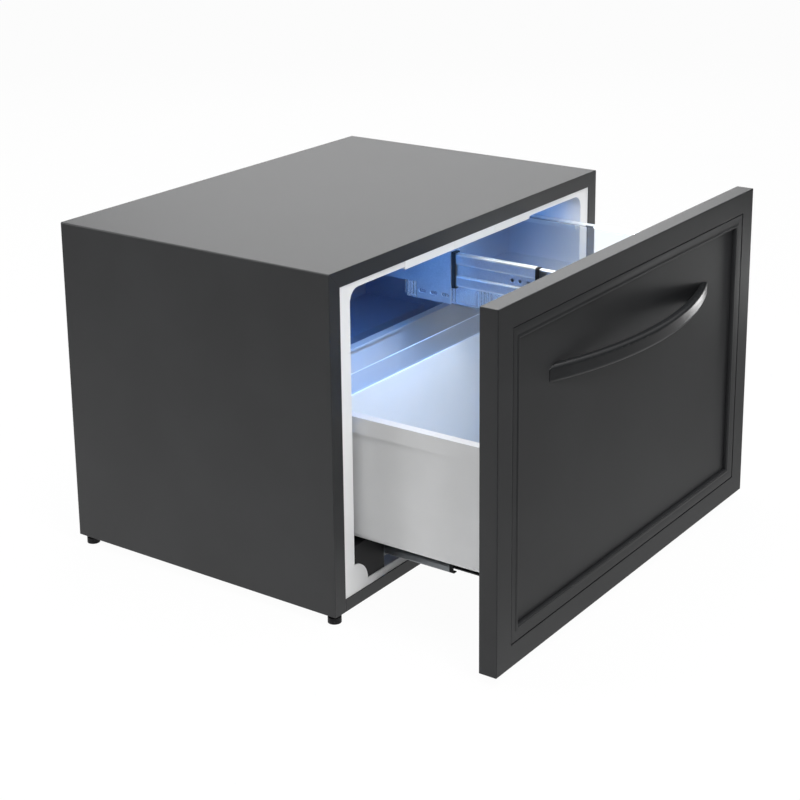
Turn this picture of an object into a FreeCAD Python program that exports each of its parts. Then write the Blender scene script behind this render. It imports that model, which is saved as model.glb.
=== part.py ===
import FreeCAD, Part
import os
from types import SimpleNamespace
import Sketcher

# Drawer minibar fridge, drawn with the drawer part open.
# X runs to the right along the front, Y into the fridge and Z up. Every piece is drawn from the
# cabinet's front plane and its underside, then placed so that the origin lies on the floor in the
# middle of the object.

# Driving dimensions in millimetres
sizes = {
    # Cabinet shell
    "cabinetWidth": 580.0,
    "cabinetDepth": 400.0,
    "cabinetHeight": 402.0,
    "skin": 1.0,
    "bendRadius": 1.6,
    "stileFace": 19.0,
    "railFace": 15.0,
    "returnDepth": 12.0,
    "seamWidth": 0.5,
    "seamDepth": 0.4,
    "foamWall": 30.0,
    "rearScrewRadius": 4.0,
    "rearScrewHead": 2.0,
    "rearScrewInset": 12.0,
    # Feet
    "footHeight": 12.0,
    "footRadius": 8.0,
    "footNeckRadius": 6.0,
    "footPadHeight": 7.0,
    "footInset": 11.0,
    "studRadius": 3.0,
    "studClearance": 0.1,
    # White liner
    "sideWall": 38.0,
    "openingFloor": 24.5,
    "ceilingWall": 26.0,
    "rearWall": 48.0,
    "linerWall": 2.0,
    "machineDepth": 118.0,
    "machineHeight": 150.0,
    "cornerRadius": 16.0,
    "flangeRecess": 1.0,
    "bossRadius": 25.0,
    "bossDepth": 15.0,
    "bossClearance": 0.4,
    # Lamp and control strip over the front edge of the ceiling
    "lampLeft": 148.0,
    "lampRight": 122.0,
    "controlLeft": 47.0,
    "controlRight": 41.0,
    "lampSeam": 0.4,
    "lampDepth": 24.0,
    "lampDrop": 3.0,
    "lampProud": 0.8,
    "lensLength": 60.0,
    "lensWidth": 12.0,
    "lensDrop": 1.5,
    # Cooling plate on the back wall
    "coolerWidth": 400.0,
    "coolerThick": 1.5,
    "coolerDrop": 31.0,
    "coolerRise": 23.0,
    "channelWidth": 7.0,
    "channelRise": 1.2,
    "channelMargin": 16.0,
    # Section that the ball-bearing slides share
    "railSheet": 1.2,
    "railDepth": 10.5,
    "railGap": 0.35,
    "outerLip": 3.8,
    "bandRise": 3.2,
    "bandHalf": 6.5,
    "railRound": 3.0,
    "innerProud": 1.0,
    "innerReach": 9.2,
    "railHoleRadius": 2.2,
    "railHolePitch": 11.0,
    "bumperLength": 5.0,
    "latchGap": 1.1,
    # Lower slides and the blocks that carry them
    "blockWidth": 58.0,
    "lowerRailHeight": 36.0,
    "lowerRailRise": 32.0,
    "lowerInnerHeight": 20.0,
    "lowerOuterFront": 2.0,
    "lowerRearGap": 4.0,
    "middleLag": 10.5,
    "lowerShort": 8.0,
    "blockHeight": 47.5,
    "blockChamfer": 20.0,
    # Upper slide and its hangers
    "upperSlideX": 12.5,
    "upperRailHeight": 45.0,
    "upperRailDrop": 41.5,
    "upperInnerHeight": 36.7,
    "upperOuterFront": 28.0,
    "upperRearGap": 34.0,
    "upperShort": 10.0,
    "upperInnerFront": 4.0,
    "upperInnerRear": 8.0,
    "stopLength": 5.5,
    "hangerSheet": 1.5,
    "hangerLength": 50.0,
    "hangerFlange": 14.0,
    "hangerDrop": 84.0,
    "hangerSlotLength": 11.0,
    "hangerSlotHeight": 5.0,
    "hangerSlotRise": 10.0,
    # Door
    "doorSide": 10.0,
    "doorOver": 2.0,
    "doorThick": 22.0,
    "doorOpen": 197.0,
    "doorRound": 1.0,
    "borderFace": 26.0,
    "borderSide": 28.0,
    "bevelFace": 16.0,
    "bevelStep": 0.6,
    "bevelLand": 0.6,
    "bevelEdge": 4.0,
    "panelRecess": 6.0,
    "panelThick": 3.0,
    "backPlate": 2.0,
    "plateauDepth": 8.0,
    "plateauSide": 64.0,
    "plateauEnd": 32.0,
    "plateauRound": 4.0,
    "gasketWidth": 16.0,
    "gasketBase": 3.0,
    "gasketNeck": 9.0,
    "gasketNeckDepth": 2.0,
    "gasketMagnet": 4.0,
    "gasketInset": 14.0,
    "gasketEndInset": 8.5,
    # Bow handle
    "handleDrop": 103.0,
    "handleHalfSpan": 189.0,
    "handleReach": 36.0,
    "gripHalfSpan": 167.0,
    "gripReach": 26.0,
    "handleFace": 20.0,
    "handleRound": 4.5,
    "gripRound": 1.5,
    "handleScrewInset": 14.0,
    "handleScrewRadius": 2.0,
    "handleScrewHead": 4.0,
    "handleScrewDrop": 2.6,
    "handleScrewBite": 3.4,
    "screwClearance": 0.05,
    "headClearance": 0.3,
    # Tub
    "tubSideGap": 10.5,
    "tubRise": 2.5,
    "tubWall": 2.5,
    "shelfGap": 8.0,
    "shelfBack": 5.0,
    "rimHeight": 19.0,
    "rimProud": 2.5,
    "rimWidth": 12.0,
    "rimThick": 3.0,
    "tubCorner": 8.0,
    "dividerBack": 8.0,
    "dividerThick": 3.0,
    "guardThick": 2.0,
    "guardFoot": 6.0,
    "guardMargin": 8.0,
    "guardCorner": 5.0,
    # Sheet brackets between rails, tub and door
    "bracketSheet": 1.5,
    "bracketFlange": 22.0,
    "bracketReach": 38.0,
    "bracketHeight": 17.0,
    "tubBracketFront": 140.0,
    "tubBracketRear": 5.0,
    "tubBracketLength": 35.0,
    "tubBracketDrop": 20.0,
    "bracketScrewRadius": 3.6,
    "bracketScrewRise": 1.8,
    # Clear tray
    "trayRise": 5.5,
    "trayFrontGap": 2.0,
    "trayBack": 50.0,
    "trayGap": 3.5,
    "trayWall": 3.0,
    "lipGap": 2.5,
    "trayCorner": 6.0,
    "ribHeight": 26.0,
    "ribDepth": 1.6,
    "ribThick": 2.0,
    "ribPitch": 5.0,
    "ribRear": 12.0,
    "ribFront": 20.0,
    "clipLength": 18.0,
    "clipThick": 2.0,
    "clipDrop": 9.0,
    "clipRise": 4.0,
    "clipInset": 30.0,
    "guideHeight": 6.5,
    "guideGap": 0.35,
    "guideFront": 5.0,
    "guideBack": 7.0,
    "guideWidth": 5.5,
    # Machine compartment behind the liner's step
    "machineGap": 3.0,
    "compressorInset": 159.0,
    "compressorLength": 150.0,
    "compressorRoom": 15.0,
    "pipeRoom": 21.0,
    "seamHeight": 3.0,
    "seamReach": 1.5,
    "domeRadius": 24.0,
    "baseOver": 20.0,
    "baseUnder": 1.0,
    "baseThick": 3.0,
    "grommetHeight": 8.0,
    "grommetRadius": 8.0,
    "grommetInset": 12.0,
    "startBoxWidth": 24.0,
    "startBoxDepth": 44.0,
    "startBoxHeight": 72.0,
    "coilLeft": 10.0,
    "coilGap": 33.0,
    "coilFloor": 24.0,
    "coilPitch": 22.0,
    "coilInset": 14.0,
    "tubeRadius": 2.4,
    "finThick": 0.8,
    "finDepth": 18.0,
    "finPitch": 34.0,
    "finMargin": 9.0,
    "finInset": 12.0,
    "pipeInset": 30.0,
    "dryerRadius": 8.0,
    "dryerLength": 70.0,
    "dryerFloor": 40.0,
    "boxWidth": 56.0,
    "boxDepth": 46.0,
    "boxHeight": 84.0,
    "boxInset": 10.0,
    "inletWidth": 28.0,
    "inletHeight": 20.0,
    "inletRise": 42.0,
    "inletDepth": 16.0,
    "inletWall": 2.5,
    "inletFloor": 4.0,
    "pinWidth": 2.0,
    "pinHeight": 4.0,
    "pinPitch": 7.0,
    "pinRise": 3.0,
    "pinLength": 10.0,
    # One overrun for every cut
    "cutOver": 5.0,
}

# Heights as shares of what lies between the tub's shelf and the tray's rim
shelfShare = 0.24
guardShare = 0.16
trayShare = 0.367

# How many of each repeated feature
ribGroupCount = 6
ribCount = 5
coilRows = 5
finCount = 5
channelCount = 5
hangerHoleCount = 3
railHoleCount = 3


class Size:
    # A number together with the sheet expression that gives it.
    def __init__(self, text, value):
        self.text = text
        self.value = value

    def __add__(self, other):
        other = asSize(other)
        return Size("(" + self.text + " + " + other.text + ")", self.value + other.value)

    def __sub__(self, other):
        other = asSize(other)
        return Size("(" + self.text + " - " + other.text + ")", self.value - other.value)

    def __mul__(self, other):
        other = asSize(other)
        return Size("(" + self.text + " * " + other.text + ")", self.value * other.value)

    def __truediv__(self, other):
        other = asSize(other)
        return Size("(" + self.text + " / " + other.text + ")", self.value / other.value)

    def __rmul__(self, other):
        return asSize(other) * self

    def __rsub__(self, other):
        return asSize(other) - self

    def __neg__(self):
        return Size("(0 - " + self.text + ")", -self.value)


def asSize(number):
    if isinstance(number, Size):
        return number
    return Size(repr(float(number)), float(number))


doc = FreeCAD.newDocument("DrawerFridge")
sheet = doc.addObject("Spreadsheet::Sheet", "Sizes")
S = SimpleNamespace()
for row, (name, number) in enumerate(sizes.items(), start=1):
    sheet.set("A" + str(row), name)
    sheet.set("B" + str(row), str(number))
    sheet.setAlias("B" + str(row), name)
    setattr(S, name, Size("Sizes." + name, number))
doc.recompute()

zero = asSize(0)
pieces = []
quarterTurn = FreeCAD.Units.parseQuantity("90 deg").getValueAs("rad").Value

# Places that several pieces share
halfWidth = S.cabinetWidth / 2
innerHalf = halfWidth - S.skin
frameHalf = halfWidth - S.stileFace
frameTop = S.cabinetHeight - S.stileFace
halfOpening = halfWidth - S.sideWall
openingTop = S.cabinetHeight - S.ceilingWall
linerDepth = S.cabinetDepth - S.rearWall
machineFront = S.cabinetDepth - S.machineDepth
machineTop = S.machineHeight
stepFront = machineFront - S.foamWall - S.linerWall
stepTop = machineTop + S.foamWall + S.linerWall
backFace = S.cabinetDepth - S.skin
footX = innerHalf - S.footInset
footRows = (S.footInset, S.cabinetDepth - S.footInset)
footSpots = [(side * footX, depth) for side in (-1, 1) for depth in footRows]
halfDoor = halfWidth + S.doorSide
doorRear = -S.doorOpen
doorFront = doorRear - S.doorThick
doorLow = -S.doorOver
doorHigh = S.cabinetHeight + S.doorOver
backPlateFront = doorRear - S.backPlate
plateauRear = doorRear + S.plateauDepth
panelFront = doorFront + S.panelRecess
panelRear = panelFront + S.panelThick
panelHalf = halfDoor - S.borderSide
panelLow = doorLow + S.borderFace
panelHigh = doorHigh - S.borderFace
panelOutline = (-panelHalf, panelLow, panelHalf, panelHigh)
handleMiddle = doorHigh - S.handleDrop
handleScrewX = S.handleHalfSpan - S.handleScrewInset
handleScrewSpots = [(-handleScrewX, handleMiddle), (handleScrewX, handleMiddle)]
middleReach = S.doorOpen / 2 - S.middleLag
slideOffset = halfOpening - S.blockWidth
lowerRailMiddle = S.openingFloor + S.lowerRailRise
lowerOuterLength = stepFront - S.lowerRearGap - S.lowerOuterFront
lowerInnerX = slideOffset - S.railDepth - S.innerProud - S.railSheet
upperRailMiddle = openingTop - S.upperRailDrop
upperOuterLength = linerDepth - S.upperRearGap - S.upperOuterFront
halfTub = halfOpening - S.tubSideGap
tubFloor = lowerRailMiddle + S.lowerRailHeight / 2 + S.tubRise
tubDeepRear = stepFront - S.doorOpen
shelfFloor = stepTop + S.shelfGap
shelfRear = linerDepth - S.doorOpen - S.shelfBack
trayTop = upperRailMiddle + S.trayRise
storageHeight = trayTop - shelfFloor
rimTop = shelfFloor + shelfShare * storageHeight
guardTop = rimTop + guardShare * storageHeight
dividerFront = tubDeepRear - S.dividerBack
trayLeft = S.railDepth + S.innerProud + S.railSheet - S.upperSlideX
trayRight = halfOpening - S.guideWidth - S.trayGap
trayFront = plateauRear + S.trayFrontGap
trayRear = linerDepth - S.doorOpen - S.trayBack
trayFloor = trayTop - trayShare * storageHeight
frontReach = S.handleReach - panelFront
rearReach = S.cabinetDepth + S.rearScrewHead
middleY = (rearReach - frontReach) / 2


def bind(thing, field, size):
    thing.setExpression(field, asSize(size).text)


def newBody(name):
    body = doc.addObject("PartDesign::Body", name)
    body.Label = name
    bind(body, "Placement.Base.y", -middleY)
    bind(body, "Placement.Base.z", S.footHeight)
    pieces.append(body)
    return body


def originPlane(body, plane):
    for feature in body.Origin.OriginFeatures:
        if feature.Role == plane + "_Plane":
            return feature
    raise ValueError("no plane " + plane)


def newSketch(body, plane, at):
    # XY lies at a height, XZ at a depth into the fridge, YZ at a distance to the right.
    sketch = body.newObject("Sketcher::SketchObject", "outline")
    sketch.AttachmentSupport = [(originPlane(body, plane), "")]
    sketch.MapMode = "FlatFace"
    offset = -asSize(at) if plane == "XZ" else asSize(at)
    bind(sketch, "AttachmentOffset.Base.z", offset)
    return sketch


def hold(sketch, kind, index, position, size):
    count = sketch.addConstraint(Sketcher.Constraint(kind, -1, 1, index, position, asSize(size).value))
    bind(sketch, "Constraints[" + str(count) + "]", size)


def pin(sketch, index, position, across, up):
    # Holds one point of the sketch at a place given by the sheet.
    hold(sketch, "DistanceX", index, position, across)
    hold(sketch, "DistanceY", index, position, up)


def spot(across, up):
    return FreeCAD.Vector(asSize(across).value, asSize(up).value, 0)


def polygon(sketch, points):
    first = sketch.GeometryCount
    total = len(points)
    for index in range(total):
        start = spot(*points[index])
        end = spot(*points[(index + 1) % total])
        sketch.addGeometry(Part.LineSegment(start, end))
    for index in range(total):
        following = first + (index + 1) % total
        sketch.addConstraint(Sketcher.Constraint("Coincident", first + index, 2, following, 1))
    for index, (across, up) in enumerate(points):
        pin(sketch, first + index, 1, across, up)


def rectangle(sketch, left, low, right, high):
    polygon(sketch, [(left, low), (right, low), (right, high), (left, high)])


def circle(sketch, across, up, radius):
    normal = FreeCAD.Vector(0, 0, 1)
    index = sketch.addGeometry(Part.Circle(spot(across, up), normal, asSize(radius).value))
    pin(sketch, index, 3, across, up)
    count = sketch.addConstraint(Sketcher.Constraint("Radius", index, asSize(radius).value))
    bind(sketch, "Constraints[" + str(count) + "]", radius)


def roundSlot(sketch, across, up, halfLength, radius):
    # Two lines and two half circles, along the sketch's first axis.
    reach = asSize(halfLength) - radius
    left = across - reach
    right = across + reach
    normal = FreeCAD.Vector(0, 0, 1)
    rightEnd = Part.Circle(spot(right, up), normal, asSize(radius).value)
    leftEnd = Part.Circle(spot(left, up), normal, asSize(radius).value)
    first = sketch.GeometryCount
    sketch.addGeometry(Part.LineSegment(spot(left, up - radius), spot(right, up - radius)))
    sketch.addGeometry(Part.ArcOfCircle(rightEnd, -quarterTurn, quarterTurn))
    sketch.addGeometry(Part.LineSegment(spot(right, up + radius), spot(left, up + radius)))
    sketch.addGeometry(Part.ArcOfCircle(leftEnd, quarterTurn, 3 * quarterTurn))
    for line, arc, after in ((0, 1, 2), (2, 3, 0)):
        sketch.addConstraint(Sketcher.Constraint("Coincident", first + line, 2, first + arc, 1))
        sketch.addConstraint(Sketcher.Constraint("Coincident", first + arc, 2, first + after, 1))
    pin(sketch, first, 1, left, up - radius)
    pin(sketch, first, 2, right, up - radius)
    pin(sketch, first + 2, 1, right, up + radius)
    pin(sketch, first + 2, 2, left, up + radius)
    hold(sketch, "DistanceX", first + 1, 3, right)
    hold(sketch, "DistanceX", first + 3, 3, left)


def quarterDisc(sketch, across, up, side, radius):
    # Quarter of a disc round a lower corner; side is 1 for the right-hand corner and -1 for the left.
    inner = across - side * asSize(radius)
    top = asSize(up) + radius
    rim = Part.Circle(spot(across, up), FreeCAD.Vector(0, 0, 1), asSize(radius).value)
    start = quarterTurn if side > 0 else 0
    ends = [(across, top), (inner, up)] if side > 0 else [(inner, up), (across, top)]
    arc = sketch.addGeometry(Part.ArcOfCircle(rim, start, start + quarterTurn))
    first = sketch.addGeometry(Part.LineSegment(spot(*ends[1]), spot(across, up)))
    last = sketch.addGeometry(Part.LineSegment(spot(across, up), spot(*ends[0])))
    for before, after in ((arc, first), (first, last), (last, arc)):
        sketch.addConstraint(Sketcher.Constraint("Coincident", before, 2, after, 1))
    pin(sketch, first, 1, *ends[1])
    pin(sketch, first, 2, across, up)
    pin(sketch, last, 2, *ends[0])
    radiusHold = sketch.addConstraint(Sketcher.Constraint("Radius", arc, asSize(radius).value))
    bind(sketch, "Constraints[" + str(radiusHold) + "]", radius)


def volumeOf(body):
    return 0.0 if body.Shape.isNull() else body.Shape.Volume


def grow(body, sketch, plane, length, both=False):
    # Adds material towards +Z, +Y or +X from the sketch, or equally to both sides of it.
    before = volumeOf(body)
    feature = body.newObject("PartDesign::Pad", "block")
    feature.Profile = sketch
    feature.SideType = "Symmetric" if both else "One side"
    feature.Reversed = plane == "XZ" and not both
    bind(feature, "Length", length)
    doc.recompute()
    if volumeOf(body) <= before:
        raise ValueError("nothing was added to " + body.Label)


def carve(body, sketch, plane, length, both=False):
    # Takes material away towards +Z, +Y or +X from the sketch, or equally to both sides of it.
    before = volumeOf(body)
    feature = body.newObject("PartDesign::Pocket", "hollow")
    feature.Profile = sketch
    feature.SideType = "Symmetric" if both else "One side"
    feature.Reversed = plane != "XZ" and not both
    bind(feature, "Length", length)
    doc.recompute()
    if volumeOf(body) >= before:
        raise ValueError("nothing was cut from " + body.Label)


def extrude(body, plane, at, length, points):
    sketch = newSketch(body, plane, at)
    polygon(sketch, points)
    grow(body, sketch, plane, length)


def block(body, plane, at, length, left, low, right, high):
    sketch = newSketch(body, plane, at)
    rectangle(sketch, left, low, right, high)
    grow(body, sketch, plane, length)


def ring(body, plane, at, length, outer, inner):
    sketch = newSketch(body, plane, at)
    rectangle(sketch, *outer)
    rectangle(sketch, *inner)
    grow(body, sketch, plane, length)


def hollow(body, plane, at, length, left, low, right, high):
    sketch = newSketch(body, plane, at)
    rectangle(sketch, left, low, right, high)
    carve(body, sketch, plane, length)


def rods(body, plane, at, length, spots, radius):
    sketch = newSketch(body, plane, at)
    for across, up in spots:
        circle(sketch, across, up, radius)
    grow(body, sketch, plane, length)


def holes(body, plane, at, length, spots, radius):
    sketch = newSketch(body, plane, at)
    for across, up in spots:
        circle(sketch, across, up, radius)
    carve(body, sketch, plane, length)


def inset(outline, amount):
    left, low, right, high = outline
    return (left + amount, low + amount, right - amount, high - amount)


def matches(number, size):
    return abs(number - asSize(size).value) < 1e-4


def edgesWhere(body, axis, wanted):
    # Straight edges of the body's last feature that run along one axis.
    names = []
    for number, edge in enumerate(body.Tip.Shape.Edges, start=1):
        box = edge.BoundBox
        lengths = {"X": box.XLength, "Y": box.YLength, "Z": box.ZLength}
        along = lengths.pop(axis)
        if along > 1e-4 and max(lengths.values()) < 1e-4 and wanted(box):
            names.append("Edge" + str(number))
    if not names:
        raise ValueError("no edge to finish on " + body.Label)
    return names


def finish(body, kind, names, size):
    base = body.Tip
    feature = body.newObject("PartDesign::" + kind, "edge_finish")
    feature.Base = (base, names)
    bind(feature, "Radius" if kind == "Fillet" else "Size", size)
    doc.recompute()
    if "Invalid" in feature.State or feature.Shape.isNull():
        raise ValueError("an edge of " + body.Label + " could not be finished")


# Cabinet shell

def cabinetWrapper():
    body = newBody("cabinet_wrapper")
    top = S.cabinetHeight
    roof = top - S.skin
    extrude(body, "XZ", zero, S.cabinetDepth, [
        (-halfWidth, zero), (-halfWidth, top), (halfWidth, top), (halfWidth, zero),
        (innerHalf, zero), (innerHalf, roof), (-innerHalf, roof), (-innerHalf, zero)])
    # Front face of the frame, folded in from the sides and the top
    extrude(body, "XZ", zero, S.skin, [
        (-halfWidth, zero), (-halfWidth, top), (halfWidth, top), (halfWidth, zero),
        (frameHalf, zero), (frameHalf, frameTop), (-frameHalf, frameTop), (-frameHalf, zero)])
    # Second fold, which runs back beside the liner
    foldHalf = frameHalf + S.skin
    foldTop = frameTop + S.skin
    extrude(body, "XZ", zero, S.returnDepth, [
        (-foldHalf, zero), (-foldHalf, foldTop), (foldHalf, foldTop), (foldHalf, zero),
        (frameHalf, zero), (frameHalf, frameTop), (-frameHalf, frameTop), (-frameHalf, zero)])
    topEdges = edgesWhere(body, "Y", lambda box: matches(box.ZMax, top) and matches(abs(box.XMax), halfWidth))
    finish(body, "Fillet", topEdges, S.bendRadius)
    # Mitred seams at the two top corners of the frame
    seams = newSketch(body, "XZ", zero)
    for side in (-1, 1):
        polygon(seams, [
            (side * frameHalf, frameTop - S.seamWidth / 2), (side * halfWidth, top - S.seamWidth / 2),
            (side * halfWidth, top + S.seamWidth / 2), (side * frameHalf, frameTop + S.seamWidth / 2)])
    carve(body, seams, "XZ", S.seamDepth)


def basePan():
    body = newBody("base_pan")
    notch = frameHalf + S.skin
    extrude(body, "XY", zero, S.skin, [
        (-innerHalf, S.skin), (-notch, S.skin), (-notch, S.returnDepth), (notch, S.returnDepth),
        (notch, S.skin), (innerHalf, S.skin), (innerHalf, backFace), (-innerHalf, backFace)])
    holes(body, "XY", zero, S.skin, footSpots, S.studRadius + S.studClearance)


def frontRail():
    body = newBody("front_bottom_rail")
    sketch = newSketch(body, "YZ", zero)
    polygon(sketch, [
        (zero, zero), (S.returnDepth, zero), (S.returnDepth, S.skin), (S.skin, S.skin),
        (S.skin, S.railFace - S.skin), (S.returnDepth, S.railFace - S.skin),
        (S.returnDepth, S.railFace), (zero, S.railFace)])
    grow(body, sketch, "YZ", 2 * (frameHalf - S.seamWidth), both=True)


def backPanel():
    body = newBody("back_panel")
    block(body, "XZ", backFace, S.skin, -innerHalf, machineTop, innerHalf, S.cabinetHeight - S.skin)


def linerProfile(wall, front):
    # Side view of the liner, stepped over the machine compartment.
    return [
        (front, S.openingFloor - wall), (stepFront + wall, S.openingFloor - wall),
        (stepFront + wall, stepTop - wall), (linerDepth + wall, stepTop - wall),
        (linerDepth + wall, openingTop + wall), (front, openingTop + wall)]


def liner():
    body = newBody("liner")
    skinProfile = newSketch(body, "YZ", zero)
    polygon(skinProfile, linerProfile(S.linerWall, S.flangeRecess))
    grow(body, skinProfile, "YZ", 2 * (halfOpening + S.linerWall), both=True)
    block(body, "XZ", S.flangeRecess, S.linerWall, -frameHalf, S.railFace, frameHalf, frameTop)
    cavity = newSketch(body, "YZ", zero)
    polygon(cavity, linerProfile(zero, zero))
    carve(body, cavity, "YZ", 2 * halfOpening, both=True)
    corners = edgesWhere(body, "Y", lambda box: matches(abs(box.XMax), halfOpening)
                         and matches(box.YMin, S.flangeRecess))
    finish(body, "Fillet", corners, S.cornerRadius)
    # Rounded boss in each lower corner, flush with the flange
    for side in (-1, 1):
        boss = newSketch(body, "XZ", S.flangeRecess)
        quarterDisc(boss, side * halfOpening, S.openingFloor, side, S.bossRadius)
        grow(body, boss, "XZ", S.bossDepth)


def insulation():
    body = newBody("insulation_foam")
    front = S.returnDepth + S.skin
    roof = S.cabinetHeight - S.skin
    outside = newSketch(body, "YZ", zero)
    polygon(outside, [
        (front, S.skin), (machineFront, S.skin), (machineFront, machineTop), (backFace, machineTop),
        (backFace, roof), (front, roof)])
    grow(body, outside, "YZ", 2 * innerHalf, both=True)
    inside = newSketch(body, "YZ", zero)
    polygon(inside, linerProfile(S.linerWall, zero))
    carve(body, inside, "YZ", 2 * (halfOpening + S.linerWall), both=True)


def machineBulkhead():
    body = newBody("machine_bulkhead")
    sketch = newSketch(body, "YZ", zero)
    polygon(sketch, [
        (machineFront, S.skin), (machineFront + S.skin, S.skin), (machineFront + S.skin, machineTop - S.skin),
        (backFace, machineTop - S.skin), (backFace, machineTop), (machineFront, machineTop)])
    grow(body, sketch, "YZ", 2 * innerHalf, both=True)


def feet():
    body = newBody("feet")
    rods(body, "XY", -S.footHeight, S.footPadHeight, footSpots, S.footRadius)
    rods(body, "XY", -S.footHeight, S.footHeight, footSpots, S.footNeckRadius)
    rods(body, "XY", -S.footHeight, S.footHeight + S.skin, footSpots, S.studRadius)


def rearScrews():
    body = newBody("rear_screws")
    low = machineTop + S.rearScrewInset
    high = S.cabinetHeight - S.rearScrewInset
    side = halfWidth - S.rearScrewInset
    spots = [(end * side, height) for end in (-1, 1) for height in (low, (low + high) / 2, high)]
    spots = spots + [(zero, low), (zero, high)]
    rods(body, "XZ", S.cabinetDepth, S.rearScrewHead, spots, S.rearScrewRadius)


# Lamp and control strip, folded over the liner's flange

def frontStrip(body, left, right):
    front = S.flangeRecess - S.lampProud
    low = openingTop - S.lampDrop
    extrude(body, "YZ", left, right - left, [
        (front, low), (S.lampDepth, low), (S.lampDepth, openingTop), (S.flangeRecess, openingTop),
        (S.flangeRecess, frameTop), (front, frameTop)])


def lampHousings():
    body = newBody("lamp_housings")
    frontStrip(body, -S.lampLeft, -S.controlLeft - S.lampSeam)
    frontStrip(body, S.controlRight + S.lampSeam, S.lampRight)


def controlCover():
    frontStrip(newBody("control_cover"), -S.controlLeft, S.controlRight)


def lampLenses():
    body = newBody("lamp_lenses")
    middles = (-(S.lampLeft + S.controlLeft) / 2, (S.lampRight + S.controlRight) / 2)
    front = (S.lampDepth - S.lensWidth) / 2
    sketch = newSketch(body, "XY", openingTop - S.lampDrop - S.lensDrop)
    for middle in middles:
        rectangle(sketch, middle - S.lensLength / 2, front, middle + S.lensLength / 2, front + S.lensWidth)
    grow(body, sketch, "XY", S.lensDrop)


def coolingPlate():
    body = newBody("evaporator_plate")
    face = linerDepth - S.coolerThick
    reach = S.coolerWidth / 2
    high = openingTop - S.coolerDrop
    low = stepTop + S.coolerRise
    block(body, "XZ", face, S.coolerThick, -reach, low, reach, high)
    # Raised channel that winds over the plate
    end = reach - S.channelMargin
    bars = newSketch(body, "XZ", face - S.channelRise)
    pitch = (high - low - 2 * S.channelMargin - S.channelWidth) / (channelCount - 1)
    heights = [low + S.channelMargin + step * pitch for step in range(channelCount)]
    for height in heights:
        rectangle(bars, -end, height, end, height + S.channelWidth)
    grow(body, bars, "XZ", S.channelRise)
    turns = newSketch(body, "XZ", face - S.channelRise)
    for step in range(channelCount - 1):
        side = 1 if step % 2 == 0 else -1
        start = heights[step] + S.channelWidth
        rectangle(turns, side * end, start, side * (end - S.channelWidth), heights[step + 1])
    grow(body, turns, "XZ", S.channelRise)


# Ball-bearing slides. A section is drawn from the fixed rail's web, across towards the drawer.

def railPlace(web, side):
    # Turns a distance from the fixed web into a place across the fridge.
    return lambda across: web - side * across


def channelPoints(place, low, high, near, far, webInside):
    # Plain channel whose flanges run from the web at near out to far.
    floor = low + S.railSheet
    roof = high - S.railSheet
    return [
        (place(near), low), (place(far), low), (place(far), floor), (place(webInside), floor),
        (place(webInside), roof), (place(far), roof), (place(far), high), (place(near), high)]


def outerPoints(place, middle, height):
    thick = S.railSheet
    far = S.railDepth
    low = middle - height / 2
    high = middle + height / 2
    return [
        (place(zero), low), (place(far), low),
        (place(far), low + S.outerLip), (place(far - thick), low + S.outerLip),
        (place(far - thick), low + thick), (place(thick), low + thick),
        (place(thick), high - thick), (place(far - thick), high - thick),
        (place(far - thick), high - S.outerLip), (place(far), high - S.outerLip),
        (place(far), high), (place(zero), high)]


def middlePoints(place, middle, height, banded):
    # Middle rail inside the fixed one, its web pressed inwards along the centre line.
    thick = S.railSheet
    near = thick + S.railGap
    far = S.railDepth - near
    half = height / 2 - near
    low = middle - half
    high = middle + half
    if not banded:
        return channelPoints(place, low, high, near, far, near + thick)
    bandLow = middle - S.bandHalf
    bandHigh = middle + S.bandHalf
    deep = near + S.bandRise
    return [
        (place(near), low), (place(far), low), (place(far), low + thick), (place(near + thick), low + thick),
        (place(near + thick), bandLow - thick), (place(deep + thick), bandLow - thick),
        (place(deep + thick), bandHigh + thick), (place(near + thick), bandHigh + thick),
        (place(near + thick), high - thick), (place(far), high - thick), (place(far), high),
        (place(near), high), (place(near), bandHigh), (place(deep), bandHigh),
        (place(deep), bandLow), (place(near), bandLow)]


def rollRail(body, place, middle, height, banded):
    # Rounds the middle rail's raceways, first outside the sheet and then inside it.
    near = S.railSheet + S.railGap
    half = height / 2 - near
    layers = [(near, half, S.bandHalf, S.railRound),
              (near + S.railSheet, half - S.railSheet, S.bandHalf + S.railSheet, S.railRound - S.railSheet)]
    for across, far, band, radius in layers:
        reaches = (far, band) if banded else (far,)
        heights = [middle + side * reach for side in (-1, 1) for reach in reaches]
        corners = edgesWhere(body, "Y", lambda box: matches(box.XMin, place(across))
                             and any(matches(box.ZMin, height) for height in heights))
        finish(body, "Fillet", corners, radius)


def innerPoints(place, middle, height):
    web = S.railDepth + S.innerProud + S.railSheet
    low = middle - height / 2
    return channelPoints(place, low, low + height, web, web - S.innerReach, web - S.railSheet)


def railHoles(body, web, front, middle):
    # Row of holes near the front of the rail's web
    spots = [(front + (step + 1) * S.railHolePitch, middle) for step in range(railHoleCount)]
    sketch = newSketch(body, "YZ", web - S.railDepth)
    for along, up in spots:
        circle(sketch, along, up, S.railHoleRadius)
    carve(body, sketch, "YZ", 2 * S.railDepth)


def lowerOuterRail(side, name):
    body = newBody("lower_outer_rail_" + name)
    place = railPlace(side * slideOffset, side)
    points = outerPoints(place, lowerRailMiddle, S.lowerRailHeight)
    extrude(body, "XZ", S.lowerOuterFront, lowerOuterLength, points)


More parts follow.
